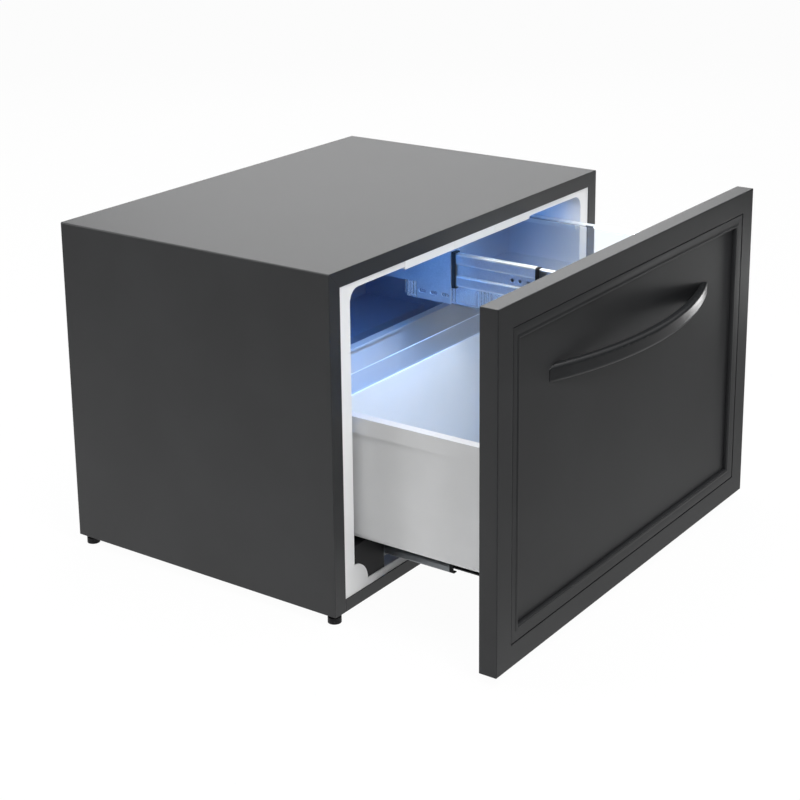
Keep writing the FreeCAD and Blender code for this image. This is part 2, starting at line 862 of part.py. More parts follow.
def lowerMiddleRail(side, name):
    body = newBody("lower_middle_rail_" + name)
    place = railPlace(side * slideOffset, side)
    points = middlePoints(place, lowerRailMiddle, S.lowerRailHeight, True)
    extrude(body, "XZ", -middleReach, lowerOuterLength - S.lowerShort, points)
    rollRail(body, place, lowerRailMiddle, S.lowerRailHeight, True)
    railHoles(body, side * slideOffset, -middleReach, lowerRailMiddle)


def lowerInnerRail(side, name):
    body = newBody("lower_inner_rail_" + name)
    place = railPlace(side * slideOffset, side)
    points = innerPoints(place, lowerRailMiddle, S.lowerInnerHeight)
    extrude(body, "XZ", plateauRear, lowerOuterLength - S.lowerShort, points)


def lowerBumpers():
    body = newBody("lower_bumpers")
    for side in (-1, 1):
        place = railPlace(side * slideOffset, side)
        points = middlePoints(place, lowerRailMiddle, S.lowerRailHeight, False)
        extrude(body, "XZ", -middleReach - S.bumperLength, S.bumperLength, points)
        rollRail(body, place, lowerRailMiddle, S.lowerRailHeight, False)


def railLatches():
    # Black catches inside the drawer's rails, just ahead of the middle rails
    body = newBody("rail_latches")
    front = -middleReach - S.bumperLength - S.latchGap - S.bumperLength
    half = S.lowerInnerHeight / 2 - S.railSheet
    web = S.railDepth + S.innerProud
    near = 2 * (S.railSheet + S.railGap) + S.bandRise
    for side in (-1, 1):
        place = railPlace(side * slideOffset, side)
        ends = (place(near), place(web)) if side < 0 else (place(web), place(near))
        block(body, "XZ", front, S.bumperLength, ends[0], lowerRailMiddle - half, ends[1],
              lowerRailMiddle + half)


def runnerBlock(side, name):
    body = newBody("runner_block_" + name)
    low = S.openingFloor
    extrude(body, "XZ", S.lowerOuterFront, lowerOuterLength, [
        (side * slideOffset, low), (side * (halfOpening - S.blockChamfer), low),
        (side * halfOpening, low + S.blockChamfer), (side * halfOpening, S.openingFloor + S.blockHeight),
        (side * slideOffset, S.openingFloor + S.blockHeight)])
    # Room for the boss in the liner's corner
    relief = newSketch(body, "XZ", S.lowerOuterFront)
    quarterDisc(relief, side * halfOpening, low, side, S.bossRadius + S.bossClearance)
    carve(body, relief, "XZ", S.flangeRecess + S.bossDepth + S.bossClearance - S.lowerOuterFront)


def upperPlace():
    return railPlace(-S.upperSlideX, -1)


def upperOuterRail():
    body = newBody("upper_outer_rail")
    points = outerPoints(upperPlace(), upperRailMiddle, S.upperRailHeight)
    extrude(body, "XZ", S.upperOuterFront, upperOuterLength, points)


def upperEndStop():
    body = newBody("upper_end_stop")
    points = outerPoints(upperPlace(), upperRailMiddle, S.upperRailHeight)
    extrude(body, "XZ", S.upperOuterFront - S.stopLength, S.stopLength, points)


def upperMiddleRail():
    body = newBody("upper_middle_rail")
    points = middlePoints(upperPlace(), upperRailMiddle, S.upperRailHeight, True)
    extrude(body, "XZ", -middleReach, upperOuterLength - S.upperShort, points)
    rollRail(body, upperPlace(), upperRailMiddle, S.upperRailHeight, True)
    railHoles(body, -S.upperSlideX, -middleReach, upperRailMiddle)


def upperBumper():
    body = newBody("upper_bumper")
    points = middlePoints(upperPlace(), upperRailMiddle, S.upperRailHeight, False)
    extrude(body, "XZ", -middleReach - S.bumperLength, S.bumperLength, points)
    rollRail(body, upperPlace(), upperRailMiddle, S.upperRailHeight, False)


def upperInnerRail():
    body = newBody("upper_inner_rail")
    points = innerPoints(upperPlace(), upperRailMiddle, S.upperInnerHeight)
    start = trayFront + S.upperInnerFront
    extrude(body, "XZ", start, trayRear - S.upperInnerRear - start, points)


def hangers():
    # Slotted sheet hangers that carry the upper slide from the ceiling
    body = newBody("hangers")
    face = -S.upperSlideX
    outside = face - S.hangerSheet
    ceiling = openingTop
    hangerLow = ceiling - S.hangerDrop
    rear = S.upperOuterFront + upperOuterLength - S.hangerLength
    slots = newSketch(body, "YZ", outside - S.cutOver)
    for start in (S.upperOuterFront, rear):
        extrude(body, "XZ", start, S.hangerLength, [
            (face, hangerLow), (face, ceiling), (face - S.hangerFlange, ceiling),
            (face - S.hangerFlange, ceiling - S.hangerSheet), (outside, ceiling - S.hangerSheet),
            (outside, hangerLow)])
        for step in range(hangerHoleCount):
            along = start + S.hangerLength * (2 * step + 1) / (2 * hangerHoleCount)
            for height in (hangerLow + S.hangerSlotRise, ceiling - S.hangerSlotRise):
                roundSlot(slots, along, height, S.hangerSlotLength / 2, S.hangerSlotHeight / 2)
    carve(body, slots, "YZ", 2 * S.cutOver + S.hangerSheet)


def trayGuide():
    body = newBody("tray_guide")
    top = trayTop - S.trayWall - S.guideGap
    length = linerDepth - S.guideBack - S.guideFront
    block(body, "XZ", S.guideFront, length, halfOpening - S.guideWidth, top - S.guideHeight,
          halfOpening, top)


# Door

def doorFrame():
    body = newBody("door_frame")
    outline = (-halfDoor, doorLow, halfDoor, doorHigh)
    ring(body, "XZ", doorFront, S.doorThick, outline, panelOutline)
    front = lambda box: matches(box.YMax, doorFront)
    outerX = lambda box: front(box) and matches(abs(box.XMax), halfDoor)
    outerZ = lambda box: front(box) and (matches(box.ZMax, doorHigh) or matches(box.ZMax, doorLow))
    names = edgesWhere(body, "Z", outerX) + edgesWhere(body, "X", outerZ)
    finish(body, "Fillet", names, S.doorRound)


def doorBevel():
    # Frame strip that slopes down to the recessed panel, mitred at its corners
    body = newBody("door_bevel")
    face = doorFront + S.bevelStep
    inner = inset(panelOutline, S.bevelFace)
    ring(body, "XZ", face, panelFront - face, panelOutline, inner)
    before = volumeOf(body)
    wide = newSketch(body, "XZ", face)
    rectangle(wide, *inset(panelOutline, S.bevelLand))
    narrow = newSketch(body, "XZ", panelFront - S.bevelEdge)
    rectangle(narrow, *inner)
    slope = body.newObject("PartDesign::SubtractiveLoft", "slope")
    slope.Profile = wide
    slope.Sections = [narrow]
    doc.recompute()
    if volumeOf(body) >= before:
        raise ValueError("the bevel was not cut")


def doorPanel():
    body = newBody("door_panel")
    block(body, "XZ", panelFront, S.panelThick, *panelOutline)
    holes(body, "XZ", panelFront, S.panelThick, handleScrewSpots, S.handleScrewRadius + S.screwClearance)


def doorFoam():
    body = newBody("door_foam")
    block(body, "XZ", panelRear, backPlateFront - panelRear, *panelOutline)
    radius = S.handleScrewHead + S.headClearance
    holes(body, "XZ", panelRear, S.handleScrewDrop + S.headClearance, handleScrewSpots, radius)


def doorInnerPanel():
    body = newBody("door_inner_panel")
    block(body, "XZ", backPlateFront, S.backPlate, *panelOutline)
    reach = halfDoor - S.plateauSide
    low = doorLow + S.plateauEnd
    high = doorHigh - S.plateauEnd
    block(body, "XZ", doorRear, S.plateauDepth, -reach, low, reach, high)
    corners = edgesWhere(body, "Y", lambda box: matches(abs(box.XMax), reach)
                         and matches(box.YMax, plateauRear))
    finish(body, "Fillet", corners, S.plateauRound)


def doorGasket():
    body = newBody("door_gasket")
    outline = (-halfDoor + S.gasketInset, doorLow + S.gasketEndInset, halfDoor - S.gasketInset,
               doorHigh - S.gasketEndInset)
    inner = inset(outline, S.gasketWidth)
    necking = (S.gasketWidth - S.gasketNeck) / 2
    neckFront = doorRear + S.gasketBase
    ring(body, "XZ", doorRear, S.gasketBase, outline, inner)
    ring(body, "XZ", neckFront, S.gasketNeckDepth, inset(outline, necking), inset(inner, -necking))
    ring(body, "XZ", neckFront + S.gasketNeckDepth, S.gasketMagnet, outline, inner)


def bowArc(sketch, halfSpan, reach, turnedBack):
    # Arc over a chord on the door's panel, bowed out by the reach
    radius = (halfSpan * halfSpan + reach * reach) / (2 * reach)
    ends = [(-halfSpan, panelFront), (halfSpan, panelFront)]
    crown = (zero, panelFront - reach)
    start, finishEnd = (ends[1], ends[0]) if turnedBack else (ends[0], ends[1])
    index = sketch.addGeometry(Part.Arc(spot(*start), spot(*crown), spot(*finishEnd)))
    # An arc runs counterclockwise, so its own first point is the left one.
    pin(sketch, index, 1, *ends[0])
    pin(sketch, index, 2, *ends[1])
    hold(sketch, "DistanceY", index, 3, crown[1] + radius)
    return index


def handle():
    body = newBody("handle")
    low = handleMiddle - S.handleFace / 2
    sketch = newSketch(body, "XY", low)
    outer = bowArc(sketch, S.handleHalfSpan, S.handleReach, False)
    inner = bowArc(sketch, S.gripHalfSpan, S.gripReach, False)
    for side, position in ((-1, 1), (1, 2)):
        line = sketch.addGeometry(Part.LineSegment(
            spot(side * S.handleHalfSpan, panelFront), spot(side * S.gripHalfSpan, panelFront)))
        sketch.addConstraint(Sketcher.Constraint("Coincident", line, 1, outer, position))
        sketch.addConstraint(Sketcher.Constraint("Coincident", line, 2, inner, position))
    grow(body, sketch, "XY", S.handleFace)
    for reach, radius in ((S.handleReach, S.handleRound), (S.gripReach, S.gripRound)):
        crown = panelFront - reach
        names = ["Edge" + str(number) for number, edge in enumerate(body.Tip.Shape.Edges, start=1)
                 if matches(edge.BoundBox.YMin, crown) and edge.BoundBox.ZLength < 1e-4]
        finish(body, "Fillet", names, radius)
    depth = S.handleScrewBite
    holes(body, "XZ", panelFront - depth, depth, handleScrewSpots, S.handleScrewRadius + S.screwClearance)


def handleScrews():
    body = newBody("handle_screws")
    start = panelFront - S.handleScrewBite
    rods(body, "XZ", start, panelRear - start, handleScrewSpots, S.handleScrewRadius)
    rods(body, "XZ", panelRear, S.handleScrewDrop, handleScrewSpots, S.handleScrewHead)


# Tub with its shelf over the step

def tub():
    body = newBody("tub")
    wall = S.tubWall
    front = plateauRear
    shelfEnd = shelfRear + wall
    outside = newSketch(body, "YZ", zero)
    polygon(outside, [
        (front, tubFloor), (tubDeepRear + wall, tubFloor), (tubDeepRear + wall, shelfFloor - wall),
        (shelfEnd, shelfFloor - wall), (shelfEnd, rimTop), (front, rimTop)])
    grow(body, outside, "YZ", (2 * halfTub), both=True)
    bottomCorners = edgesWhere(body, "Y", lambda box: matches(abs(box.XMax), halfTub)
                               and matches(box.ZMax, tubFloor))
    finish(body, "Fillet", bottomCorners, S.tubCorner)
    rimOuter = halfTub + S.rimProud
    rimRear = shelfEnd + S.rimProud
    block(body, "XY", rimTop - S.rimHeight, S.rimHeight, -rimOuter, front, rimOuter, rimRear)
    inside = newSketch(body, "YZ", zero)
    top = rimTop - S.rimThick
    polygon(inside, [
        (front + wall, tubFloor + wall), (tubDeepRear, tubFloor + wall), (tubDeepRear, shelfFloor),
        (shelfRear, shelfFloor), (shelfRear, top), (front + wall, top)])
    carve(body, inside, "YZ", (2 * halfTub) - 2 * wall, both=True)
    mouth = rimOuter - S.rimWidth
    hollow(body, "XY", top - S.cutOver, S.rimThick + 2 * S.cutOver, -mouth, front + S.rimWidth, mouth,
           rimRear - S.rimWidth)


def dividerWall():
    body = newBody("divider_wall")
    reach = halfTub + S.rimProud - S.rimWidth
    block(body, "XZ", dividerFront, S.dividerThick, -reach, tubFloor + S.tubWall, reach, rimTop)


def guard():
    body = newBody("guard")
    reach = halfTub + S.rimProud - S.rimWidth - S.guardMargin
    low = shelfFloor + S.guardFoot
    block(body, "XZ", dividerFront + S.dividerThick, S.guardThick, -reach, low, reach, guardTop)
    corners = edgesWhere(body, "Y", lambda box: matches(box.ZMax, guardTop) and matches(abs(box.XMax), reach))
    finish(body, "Fillet", corners, S.guardCorner)


def doorBrackets():
    # Angles that tie the drawer's rails to the door
    body = newBody("door_brackets")
    low = lowerRailMiddle - S.bracketHeight / 2
    for side in (-1, 1):
        face = side * lowerInnerX
        arm = side * (lowerInnerX - S.bracketSheet)
        toe = side * (lowerInnerX - S.bracketFlange)
        rear = plateauRear + S.bracketReach
        extrude(body, "XY", low, S.bracketHeight, [
            (face, plateauRear), (toe, plateauRear), (toe, plateauRear + S.bracketSheet),
            (arm, plateauRear + S.bracketSheet), (arm, rear), (face, rear)])


def tubBrackets():
    # Angles that carry the tub's floor on the drawer's rails
    body = newBody("tub_brackets")
    low = tubFloor - S.tubBracketDrop
    for side in (-1, 1):
        face = side * lowerInnerX
        arm = side * (lowerInnerX - S.bracketSheet)
        toe = side * (lowerInnerX - S.bracketFlange)
        for start in (-S.tubBracketFront, -S.tubBracketRear):
            extrude(body, "XZ", start, S.tubBracketLength, [
                (face, low), (arm, low), (arm, tubFloor - S.bracketSheet),
                (toe, tubFloor - S.bracketSheet), (toe, tubFloor), (face, tubFloor)])


def bracketScrews():
    body = newBody("bracket_screws")
    middle = lowerRailMiddle
    toeX = lowerInnerX - (S.bracketFlange + S.bracketSheet) / 2
    spots = [(-toeX, middle), (toeX, middle)]
    rods(body, "XZ", plateauRear + S.bracketSheet, S.bracketScrewRise, spots, S.bracketScrewRadius)
    armY = plateauRear + S.bracketReach - 2 * S.bracketScrewRadius
    half = S.tubBracketLength / 2
    height = tubFloor - S.tubBracketDrop + S.bracketScrewRadius + S.bracketSheet
    arms = [(armY, middle), (half - S.tubBracketFront, height), (half - S.tubBracketRear, height)]
    face = lowerInnerX - S.bracketSheet
    rods(body, "YZ", -face, S.bracketScrewRise, arms, S.bracketScrewRadius)
    rods(body, "YZ", face - S.bracketScrewRise, S.bracketScrewRise, arms, S.bracketScrewRadius)


# Clear tray on the upper slide

def tray():
    body = newBody("tray")
    left = trayLeft
    right = trayRight
    wall = S.trayWall
    block(body, "XY", trayFloor, trayTop - trayFloor, left, trayFront, right, trayRear)
    corners = edgesWhere(body, "Y", lambda box: matches(box.ZMax, trayFloor))
    uprights = edgesWhere(body, "Z", lambda box: matches(box.YMax, trayRear))
    finish(body, "Fillet", corners + uprights, S.trayCorner)
    lipLow = trayTop - wall
    block(body, "XY", lipLow, wall, right - wall, trayFront, halfOpening - S.lipGap, trayRear)
    inside = newSketch(body, "XY", trayFloor + wall)
    rectangle(inside, left + wall, trayFront + wall, right - wall, trayRear - wall)
    carve(body, inside, "XY", trayTop - trayFloor)
    # Groups of upright ribs on the outside of the wall under the slide
    ribs = newSketch(body, "YZ", left - S.ribDepth)
    pitch = (trayRear - S.ribRear - trayFront - S.ribFront) / (ribGroupCount - 1)
    for group in range(ribGroupCount):
        middle = trayRear - S.ribRear - group * pitch
        for rib in range(ribCount):
            start = middle + (rib - (ribCount - 1) / 2) * S.ribPitch - S.ribThick / 2
            rectangle(ribs, start, trayFloor + S.trayCorner, start + S.ribThick, trayFloor + S.ribHeight)
    grow(body, ribs, "YZ", S.ribDepth + wall / 2)


def trayClips():
    # Hooks over the tray's wall that hold it to the slide
    body = newBody("tray_clips")
    left = trayLeft
    inner = left + S.trayWall
    for start in (trayFront + S.clipInset, trayRear - S.clipInset - S.clipLength):
        extrude(body, "XZ", start, S.clipLength, [
            (left, trayTop), (inner, trayTop), (inner, trayTop - S.clipDrop),
            (inner + S.clipThick, trayTop - S.clipDrop), (inner + S.clipThick, trayTop + S.clipThick),
            (left + S.clipThick, trayTop + S.clipThick), (left + S.clipThick, trayTop + S.clipRise),
            (left, trayTop + S.clipRise)])


# Machine compartment

compressorWidth = S.machineDepth - 2 * S.skin - S.machineGap - S.compressorRoom
compressorX = innerHalf - S.compressorInset
compressorY = machineFront + S.skin + S.machineGap + compressorWidth / 2
compressorLow = S.skin + S.grommetHeight + S.baseThick
compressorHeight = machineTop - S.skin - S.pipeRoom - compressorLow
baseHalf = S.compressorLength / 2 + S.baseOver
baseWidth = compressorWidth - 2 * S.baseUnder


def compressor():
    body = newBody("compressor")
    middle = -compressorX
    sketch = newSketch(body, "XY", compressorLow)
    roundSlot(sketch, middle, compressorY, S.compressorLength / 2, compressorWidth / 2)
    grow(body, sketch, "XY", compressorHeight)
    top = compressorLow + compressorHeight
    names = ["Edge" + str(number) for number, edge in enumerate(body.Tip.Shape.Edges, start=1)
             if matches(edge.BoundBox.ZMin, top)]
    finish(body, "Fillet", names, S.domeRadius)
    # Rolled seam round the middle
    seam = newSketch(body, "XY", compressorLow + compressorHeight / 2)
    seamLength = S.compressorLength / 2 + S.seamReach
    roundSlot(seam, middle, compressorY, seamLength, compressorWidth / 2 + S.seamReach)
    grow(body, seam, "XY", S.seamHeight)


def basePlateSpots():
    across = baseHalf - S.grommetInset
    deep = baseWidth / 2 - S.grommetInset
    return [(side * across - compressorX, compressorY + end * deep) for side in (-1, 1) for end in (-1, 1)]


def compressorBase():
    body = newBody("compressor_base")
    block(body, "XY", S.skin + S.grommetHeight, S.baseThick, -compressorX - baseHalf,
          compressorY - baseWidth / 2, baseHalf - compressorX, compressorY + baseWidth / 2)


def grommets():
    body = newBody("compressor_grommets")
    rods(body, "XY", S.skin, S.grommetHeight, basePlateSpots(), S.grommetRadius)


def startBox():
    body = newBody("start_box")
    left = S.compressorLength / 2 + S.seamReach + S.screwClearance - compressorX
    block(body, "XY", compressorLow, S.startBoxHeight, left, compressorY - S.startBoxDepth / 2,
          left + S.startBoxWidth, compressorY + S.startBoxDepth / 2)


coilY = S.cabinetDepth - S.coilInset
boxRight = innerHalf - S.boxInset
boxRear = backFace - S.boxInset / 2
coilRight = boxRight - S.boxWidth - S.coilGap


def condenserCoil():
    # Tube that winds up in a serpentine behind the rear opening
    body = newBody("condenser_coil")
    path = newSketch(body, "XZ", coilY)
    bend = S.coilPitch / 2
    normal = FreeCAD.Vector(0, 0, 1)
    names = []
    for row in range(coilRows):
        height = S.coilFloor + row * S.coilPitch
        forward = row % 2 == 0
        start, end = (S.coilLeft, coilRight) if forward else (coilRight, S.coilLeft)
        line = path.addGeometry(Part.LineSegment(spot(start, height), spot(end, height)))
        pin(path, line, 1, start, height)
        pin(path, line, 2, end, height)
        names.append("Edge" + str(len(names) + 1))
        if row == coilRows - 1:
            continue
        turn = Part.Circle(spot(end, height + bend), normal, bend.value)
        low = (end, height)
        high = (end, height + S.coilPitch)
        if forward:
            arc = path.addGeometry(Part.ArcOfCircle(turn, -quarterTurn, quarterTurn))
            ends = (low, high)
        else:
            arc = path.addGeometry(Part.ArcOfCircle(turn, quarterTurn, 3 * quarterTurn))
            ends = (high, low)
        pin(path, arc, 1, *ends[0])
        pin(path, arc, 2, *ends[1])
        hold(path, "DistanceX", arc, 3, end)
        names.append("Edge" + str(len(names) + 1))
    section = newSketch(body, "YZ", S.coilLeft)
    circle(section, coilY, S.coilFloor, S.tubeRadius)
    tube = body.newObject("PartDesign::AdditivePipe", "tube")
    tube.Profile = section
    tube.Spine = (path, names)
    doc.recompute()
    if volumeOf(body) <= 0:
        raise ValueError("the coil was not swept")


def condenserFins():
    body = newBody("condenser_fins")
    low = S.skin
    high = S.coilFloor + (coilRows - 1) * S.coilPitch + S.finMargin
    front = coilY - S.finDepth / 2
    for fin in range(finCount):
        left = S.coilLeft + S.finInset + fin * S.finPitch
        block(body, "YZ", left, S.finThick, front, low, front + S.finDepth, high)
    spots = [(coilY, S.coilFloor + row * S.coilPitch) for row in range(coilRows)]
    holes(body, "YZ", S.coilLeft + S.finInset, finCount * S.finPitch, spots, S.tubeRadius + S.screwClearance)


def suctionPipe():
    body = newBody("suction_pipe")
    top = compressorLow + compressorHeight
    spots = [(side * S.pipeInset - compressorX, compressorY) for side in (-1, 1)]
    rods(body, "XY", top, machineTop - S.skin - top, spots, S.tubeRadius)


def filterDryer():
    body = newBody("filter_dryer")
    spotsY = machineFront + S.skin + S.dryerRadius
    rods(body, "XY", S.dryerFloor, S.dryerLength, [(S.coilLeft, spotsY)], S.dryerRadius)


inletMiddle = boxRight - S.boxWidth / 2
inletLow = S.inletRise
inletLeft = inletMiddle - S.inletWidth / 2
inletOutline = (inletLeft, inletLow, inletLeft + S.inletWidth, inletLow + S.inletHeight)


def electricalBox():
    body = newBody("electrical_box")
    block(body, "XY", S.skin, S.boxHeight, boxRight - S.boxWidth, boxRear - S.boxDepth, boxRight, boxRear)
    hollow(body, "XZ", boxRear - S.inletDepth, S.inletDepth, *inletOutline)


def powerInlet():
    body = newBody("power_inlet")
    start = boxRear - S.inletDepth
    block(body, "XZ", start, S.inletDepth, *inletOutline)
    floor = start + S.inletFloor
    hollow(body, "XZ", floor, S.inletDepth, *inset(inletOutline, S.inletWall))
    pins = newSketch(body, "XZ", floor - S.inletWall / 2)
    middleZ = inletLow + S.inletHeight / 2
    for step, rise in ((-1, -S.pinRise), (0, S.pinRise), (1, -S.pinRise)):
        across = inletMiddle + step * S.pinPitch
        rectangle(pins, across - S.pinWidth / 2, middleZ + rise - S.pinHeight / 2, across + S.pinWidth / 2,
                  middleZ + rise + S.pinHeight / 2)
    grow(body, pins, "XZ", S.pinLength + S.inletWall / 2)


cabinetWrapper()
basePan()
frontRail()
backPanel()
insulation()
liner()
machineBulkhead()
feet()
rearScrews()
lampHousings()
controlCover()
lampLenses()
coolingPlate()
hangers()
upperOuterRail()
upperEndStop()
upperMiddleRail()
upperBumper()
upperInnerRail()
trayGuide()
for side, name in ((-1, "left"), (1, "right")):
    runnerBlock(side, name)
    lowerOuterRail(side, name)
    lowerMiddleRail(side, name)
    lowerInnerRail(side, name)
lowerBumpers()
railLatches()
doorFrame()
doorBevel()
doorPanel()
doorFoam()
doorInnerPanel()
doorGasket()
handle()
handleScrews()
tub()
dividerWall()
guard()
doorBrackets()
tubBrackets()
bracketScrews()
tray()
trayClips()
compressor()
compressorBase()
grommets()
startBox()
condenserCoil()
condenserFins()
suctionPipe()
filterDryer()
electricalBox()
powerInlet()

doc.recompute()
for item in doc.Objects:
    if "Invalid" in item.State or "Error" in item.State:
        raise ValueError(item.Label + " failed: " + str(item.State))
os.makedirs("parts", exist_ok=True)
for piece in pieces:
    if piece.Shape.isNull() or not piece.Shape.isValid():
        raise ValueError(piece.Label + " has no valid shape")
for piece in pieces:
    piece.Shape.exportStep("parts/" + piece.Label + ".step")
    print(piece.Label, len(piece.Shape.Solids), round(piece.Shape.Volume))
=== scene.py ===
import math

import bmesh
import bpy
from mathutils import Matrix, Vector


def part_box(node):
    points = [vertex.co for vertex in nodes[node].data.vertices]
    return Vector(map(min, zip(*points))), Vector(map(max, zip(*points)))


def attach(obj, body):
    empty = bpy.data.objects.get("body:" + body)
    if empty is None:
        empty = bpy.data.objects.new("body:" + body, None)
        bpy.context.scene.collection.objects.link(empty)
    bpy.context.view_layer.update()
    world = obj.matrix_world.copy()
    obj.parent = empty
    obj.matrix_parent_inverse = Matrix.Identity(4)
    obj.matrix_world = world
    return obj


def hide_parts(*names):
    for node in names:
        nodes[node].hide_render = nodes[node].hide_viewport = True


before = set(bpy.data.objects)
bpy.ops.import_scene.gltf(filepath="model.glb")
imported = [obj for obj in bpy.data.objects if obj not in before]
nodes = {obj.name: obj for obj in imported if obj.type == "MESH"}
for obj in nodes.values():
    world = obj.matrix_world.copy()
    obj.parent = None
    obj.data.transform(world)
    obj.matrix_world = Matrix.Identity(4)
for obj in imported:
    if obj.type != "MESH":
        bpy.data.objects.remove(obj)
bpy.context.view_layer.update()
print("stage: frame loaded", len(nodes), "nodes")

scene = bpy.context.scene
millimetre = 0.001


# Node trees written as plain maths

class Wire:
    # One socket of a tree, so that sums can be written as they are.
    def __init__(self, tree, socket):
        self.tree = tree
        self.socket = socket

    def math(self, operation, first, second=None):
        inputs = {0: first} if second is None else {0: first, 1: second}
        return self.tree.node("ShaderNodeMath", {"operation": operation}, inputs)

    def __add__(self, other):
        return self.math("ADD", self, other)

    def __radd__(self, other):
        return self.math("ADD", other, self)

    def __sub__(self, other):
        return self.math("SUBTRACT", self, other)

    def __rsub__(self, other):
        return self.math("SUBTRACT", other, self)

    def __mul__(self, other):
        return self.math("MULTIPLY", self, other)

    def __truediv__(self, other):
        return self.math("DIVIDE", self, other)

    def least(self, other):
        return self.math("MINIMUM", self, other)

    def most(self, other):
        return self.math("MAXIMUM", self, other)

    def above(self, other):
        return self.math("GREATER_THAN", self, other)


class Tree:
    # Adds any node with its settings, and the values or wires of its sockets.
    def __init__(self, tree):
        self.tree = tree

    def node(self, kind, settings=None, inputs=None, output=0):
        made = self.tree.nodes.new(kind)
        for key, value in (settings or {}).items():
            setattr(made, key, value)
        for key, value in (inputs or {}).items():
            self.feed(made.inputs[key], value)
        return None if output is None else Wire(self, made.outputs[output])

    def feed(self, socket, value):
        if isinstance(value, Wire):
            self.tree.links.new(value.socket, socket)
        else:
            socket.default_value = value


class Look(Tree):
    # A material and the nodes that feed its principled shader.
    def __init__(self, name):
        self.material = bpy.data.materials.new(name)
        self.material.use_nodes = True
        super().__init__(self.material.node_tree)
        self.shader = next(n for n in self.tree.nodes if n.type == "BSDF_PRINCIPLED")
        self.end = next(n for n in self.tree.nodes if n.type == "OUTPUT_MATERIAL")

    def spot(self):
        return self.node("ShaderNodeTexCoord", output="Object")

    def place(self, stretch=(1, 1, 1)):
        return self.node("ShaderNodeMapping", None, {"Vector": self.spot(), "Scale": stretch})

    def part(self, vector, axis):
        return self.node("ShaderNodeSeparateXYZ", None, {"Vector": vector}, axis)

    def noise(self, scale, detail, rough, stretch=(1, 1, 1)):
        inputs = {"Vector": self.place(stretch), "Scale": scale, "Detail": detail, "Roughness": rough}
        return self.node("ShaderNodeTexNoise", None, inputs)

    def cells(self, scale, output="Distance"):
        return self.node("ShaderNodeTexVoronoi", None, {"Vector": self.place(), "Scale": scale}, output)

    def remap(self, wire, low, high, start=0.0, end=1.0):
        inputs = {"Value": wire, "From Min": start, "From Max": end, "To Min": low, "To Max": high}
        return self.node("ShaderNodeMapRange", {"clamp": True}, inputs)

    def blend(self, factor, first, second):
        made = self.tree.nodes.new("ShaderNodeMix")
        made.data_type = "RGBA"
        self.feed(made.inputs[0], factor)
        self.feed(made.inputs[6], first)
        self.feed(made.inputs[7], second)
        return Wire(self, made.outputs[2])

    def bump(self, height, strength, distance, below=None):
        inputs = {"Height": height, "Strength": strength, "Distance": distance}
        if below is not None:
            inputs["Normal"] = below
        return self.node("ShaderNodeBump", None, inputs)

    def set(self, **values):
        for key, value in values.items():
            self.feed(self.shader.inputs[key.replace("_", " ")], value)
        return self

    def over(self, factor, shader, below=None):
        # Lays another shader over the one so far and leads both to the output
        under = below or Wire(self, self.shader.outputs[0])
        mixed = self.node("ShaderNodeMixShader", None, {0: factor, 1: under, 2: shader})
        self.feed(self.end.inputs["Surface"], mixed)
        return mixed


def shade(value):
    return (value[0], value[1], value[2], 1.0)


def paint(names, look):
    for name in names:
        piece = nodes[name] if isinstance(name, str) else name
        piece.data.materials.clear()
        piece.data.materials.append(look.material)


# Materials. A noise is given as its scale, detail and roughness, and a bump as its strength and depth

# Black powder coat of the cabinet and door
coat = {"cabinetColour": (0.011, 0.0115, 0.0125), "cabinetRough": 0.5, "cabinetGrain": 0.00006,
        "doorColour": (0.0105, 0.011, 0.012), "doorRough": 0.46, "doorGrain": 0.00004, "handleRough": 0.32,
        "grain": (2600.0, 3.0, 0.6), "grainGloss": 0.12, "grainStrength": 0.6,
        "cloud": (9.0, 3.0, 0.55), "cloudGloss": 0.02, "cloudFrom": 0.35, "cloudTo": 0.65, "lighter": 1.35,
        "foldRadius": 0.0012, "foldSamples": 4}


def powderCoat(name, colour, rough, depth):
    look = Look(name)
    grain = look.noise(*coat["grain"])
    cloud = look.noise(*coat["cloud"])
    patches = look.remap(cloud, 0.0, 1.0, coat["cloudFrom"], coat["cloudTo"])
    fold = look.node("ShaderNodeBevel", {"samples": coat["foldSamples"]}, {"Radius": coat["foldRadius"]})
    look.set(Base_Color=look.blend(patches, shade(colour), shade([c * coat["lighter"] for c in colour])),
             Roughness=rough + (cloud - 0.5) * coat["cloudGloss"] + (grain - 0.5) * coat["grainGloss"],
             Normal=look.bump(grain, coat["grainStrength"], depth, fold))
    return look


paint(["cabinet_wrapper", "base_pan", "front_bottom_rail"],
      powderCoat("cabinet_enamel", coat["cabinetColour"], coat["cabinetRough"], coat["cabinetGrain"]))
doorLook = powderCoat("door_enamel", coat["doorColour"], coat["doorRough"], coat["doorGrain"])
paint(["door_frame", "door_bevel", "door_panel"], doorLook)
paint(["handle"], powderCoat("handle_enamel", coat["doorColour"], coat["handleRough"], coat["doorGrain"]))

# Zinc-plated sheet and rails
zinc = {"bright": (0.68, 0.72, 0.76), "dull": (0.5, 0.54, 0.58), "metal": 0.85, "paintedShadeTone": 0.3,
        "sheetSpangle": 260.0, "sheetRough": 0.42, "railSpangle": 700.0, "railRough": 0.3,
        "drawn": (60.0, 3.0, 0.6, (1.0, 0.02, 1.0)), "drawnGloss": 0.7, "flakeGloss": 0.3,
        "smut": (35.0, 4.0, 0.6), "smutShare": 0.8, "flakeShare": 0.2, "mixFrom": 0.2, "mixTo": 0.8,
        "smoother": 0.05, "rougher": 0.1, "flakeHeight": 0.15, "bump": (0.12, 0.00004)}


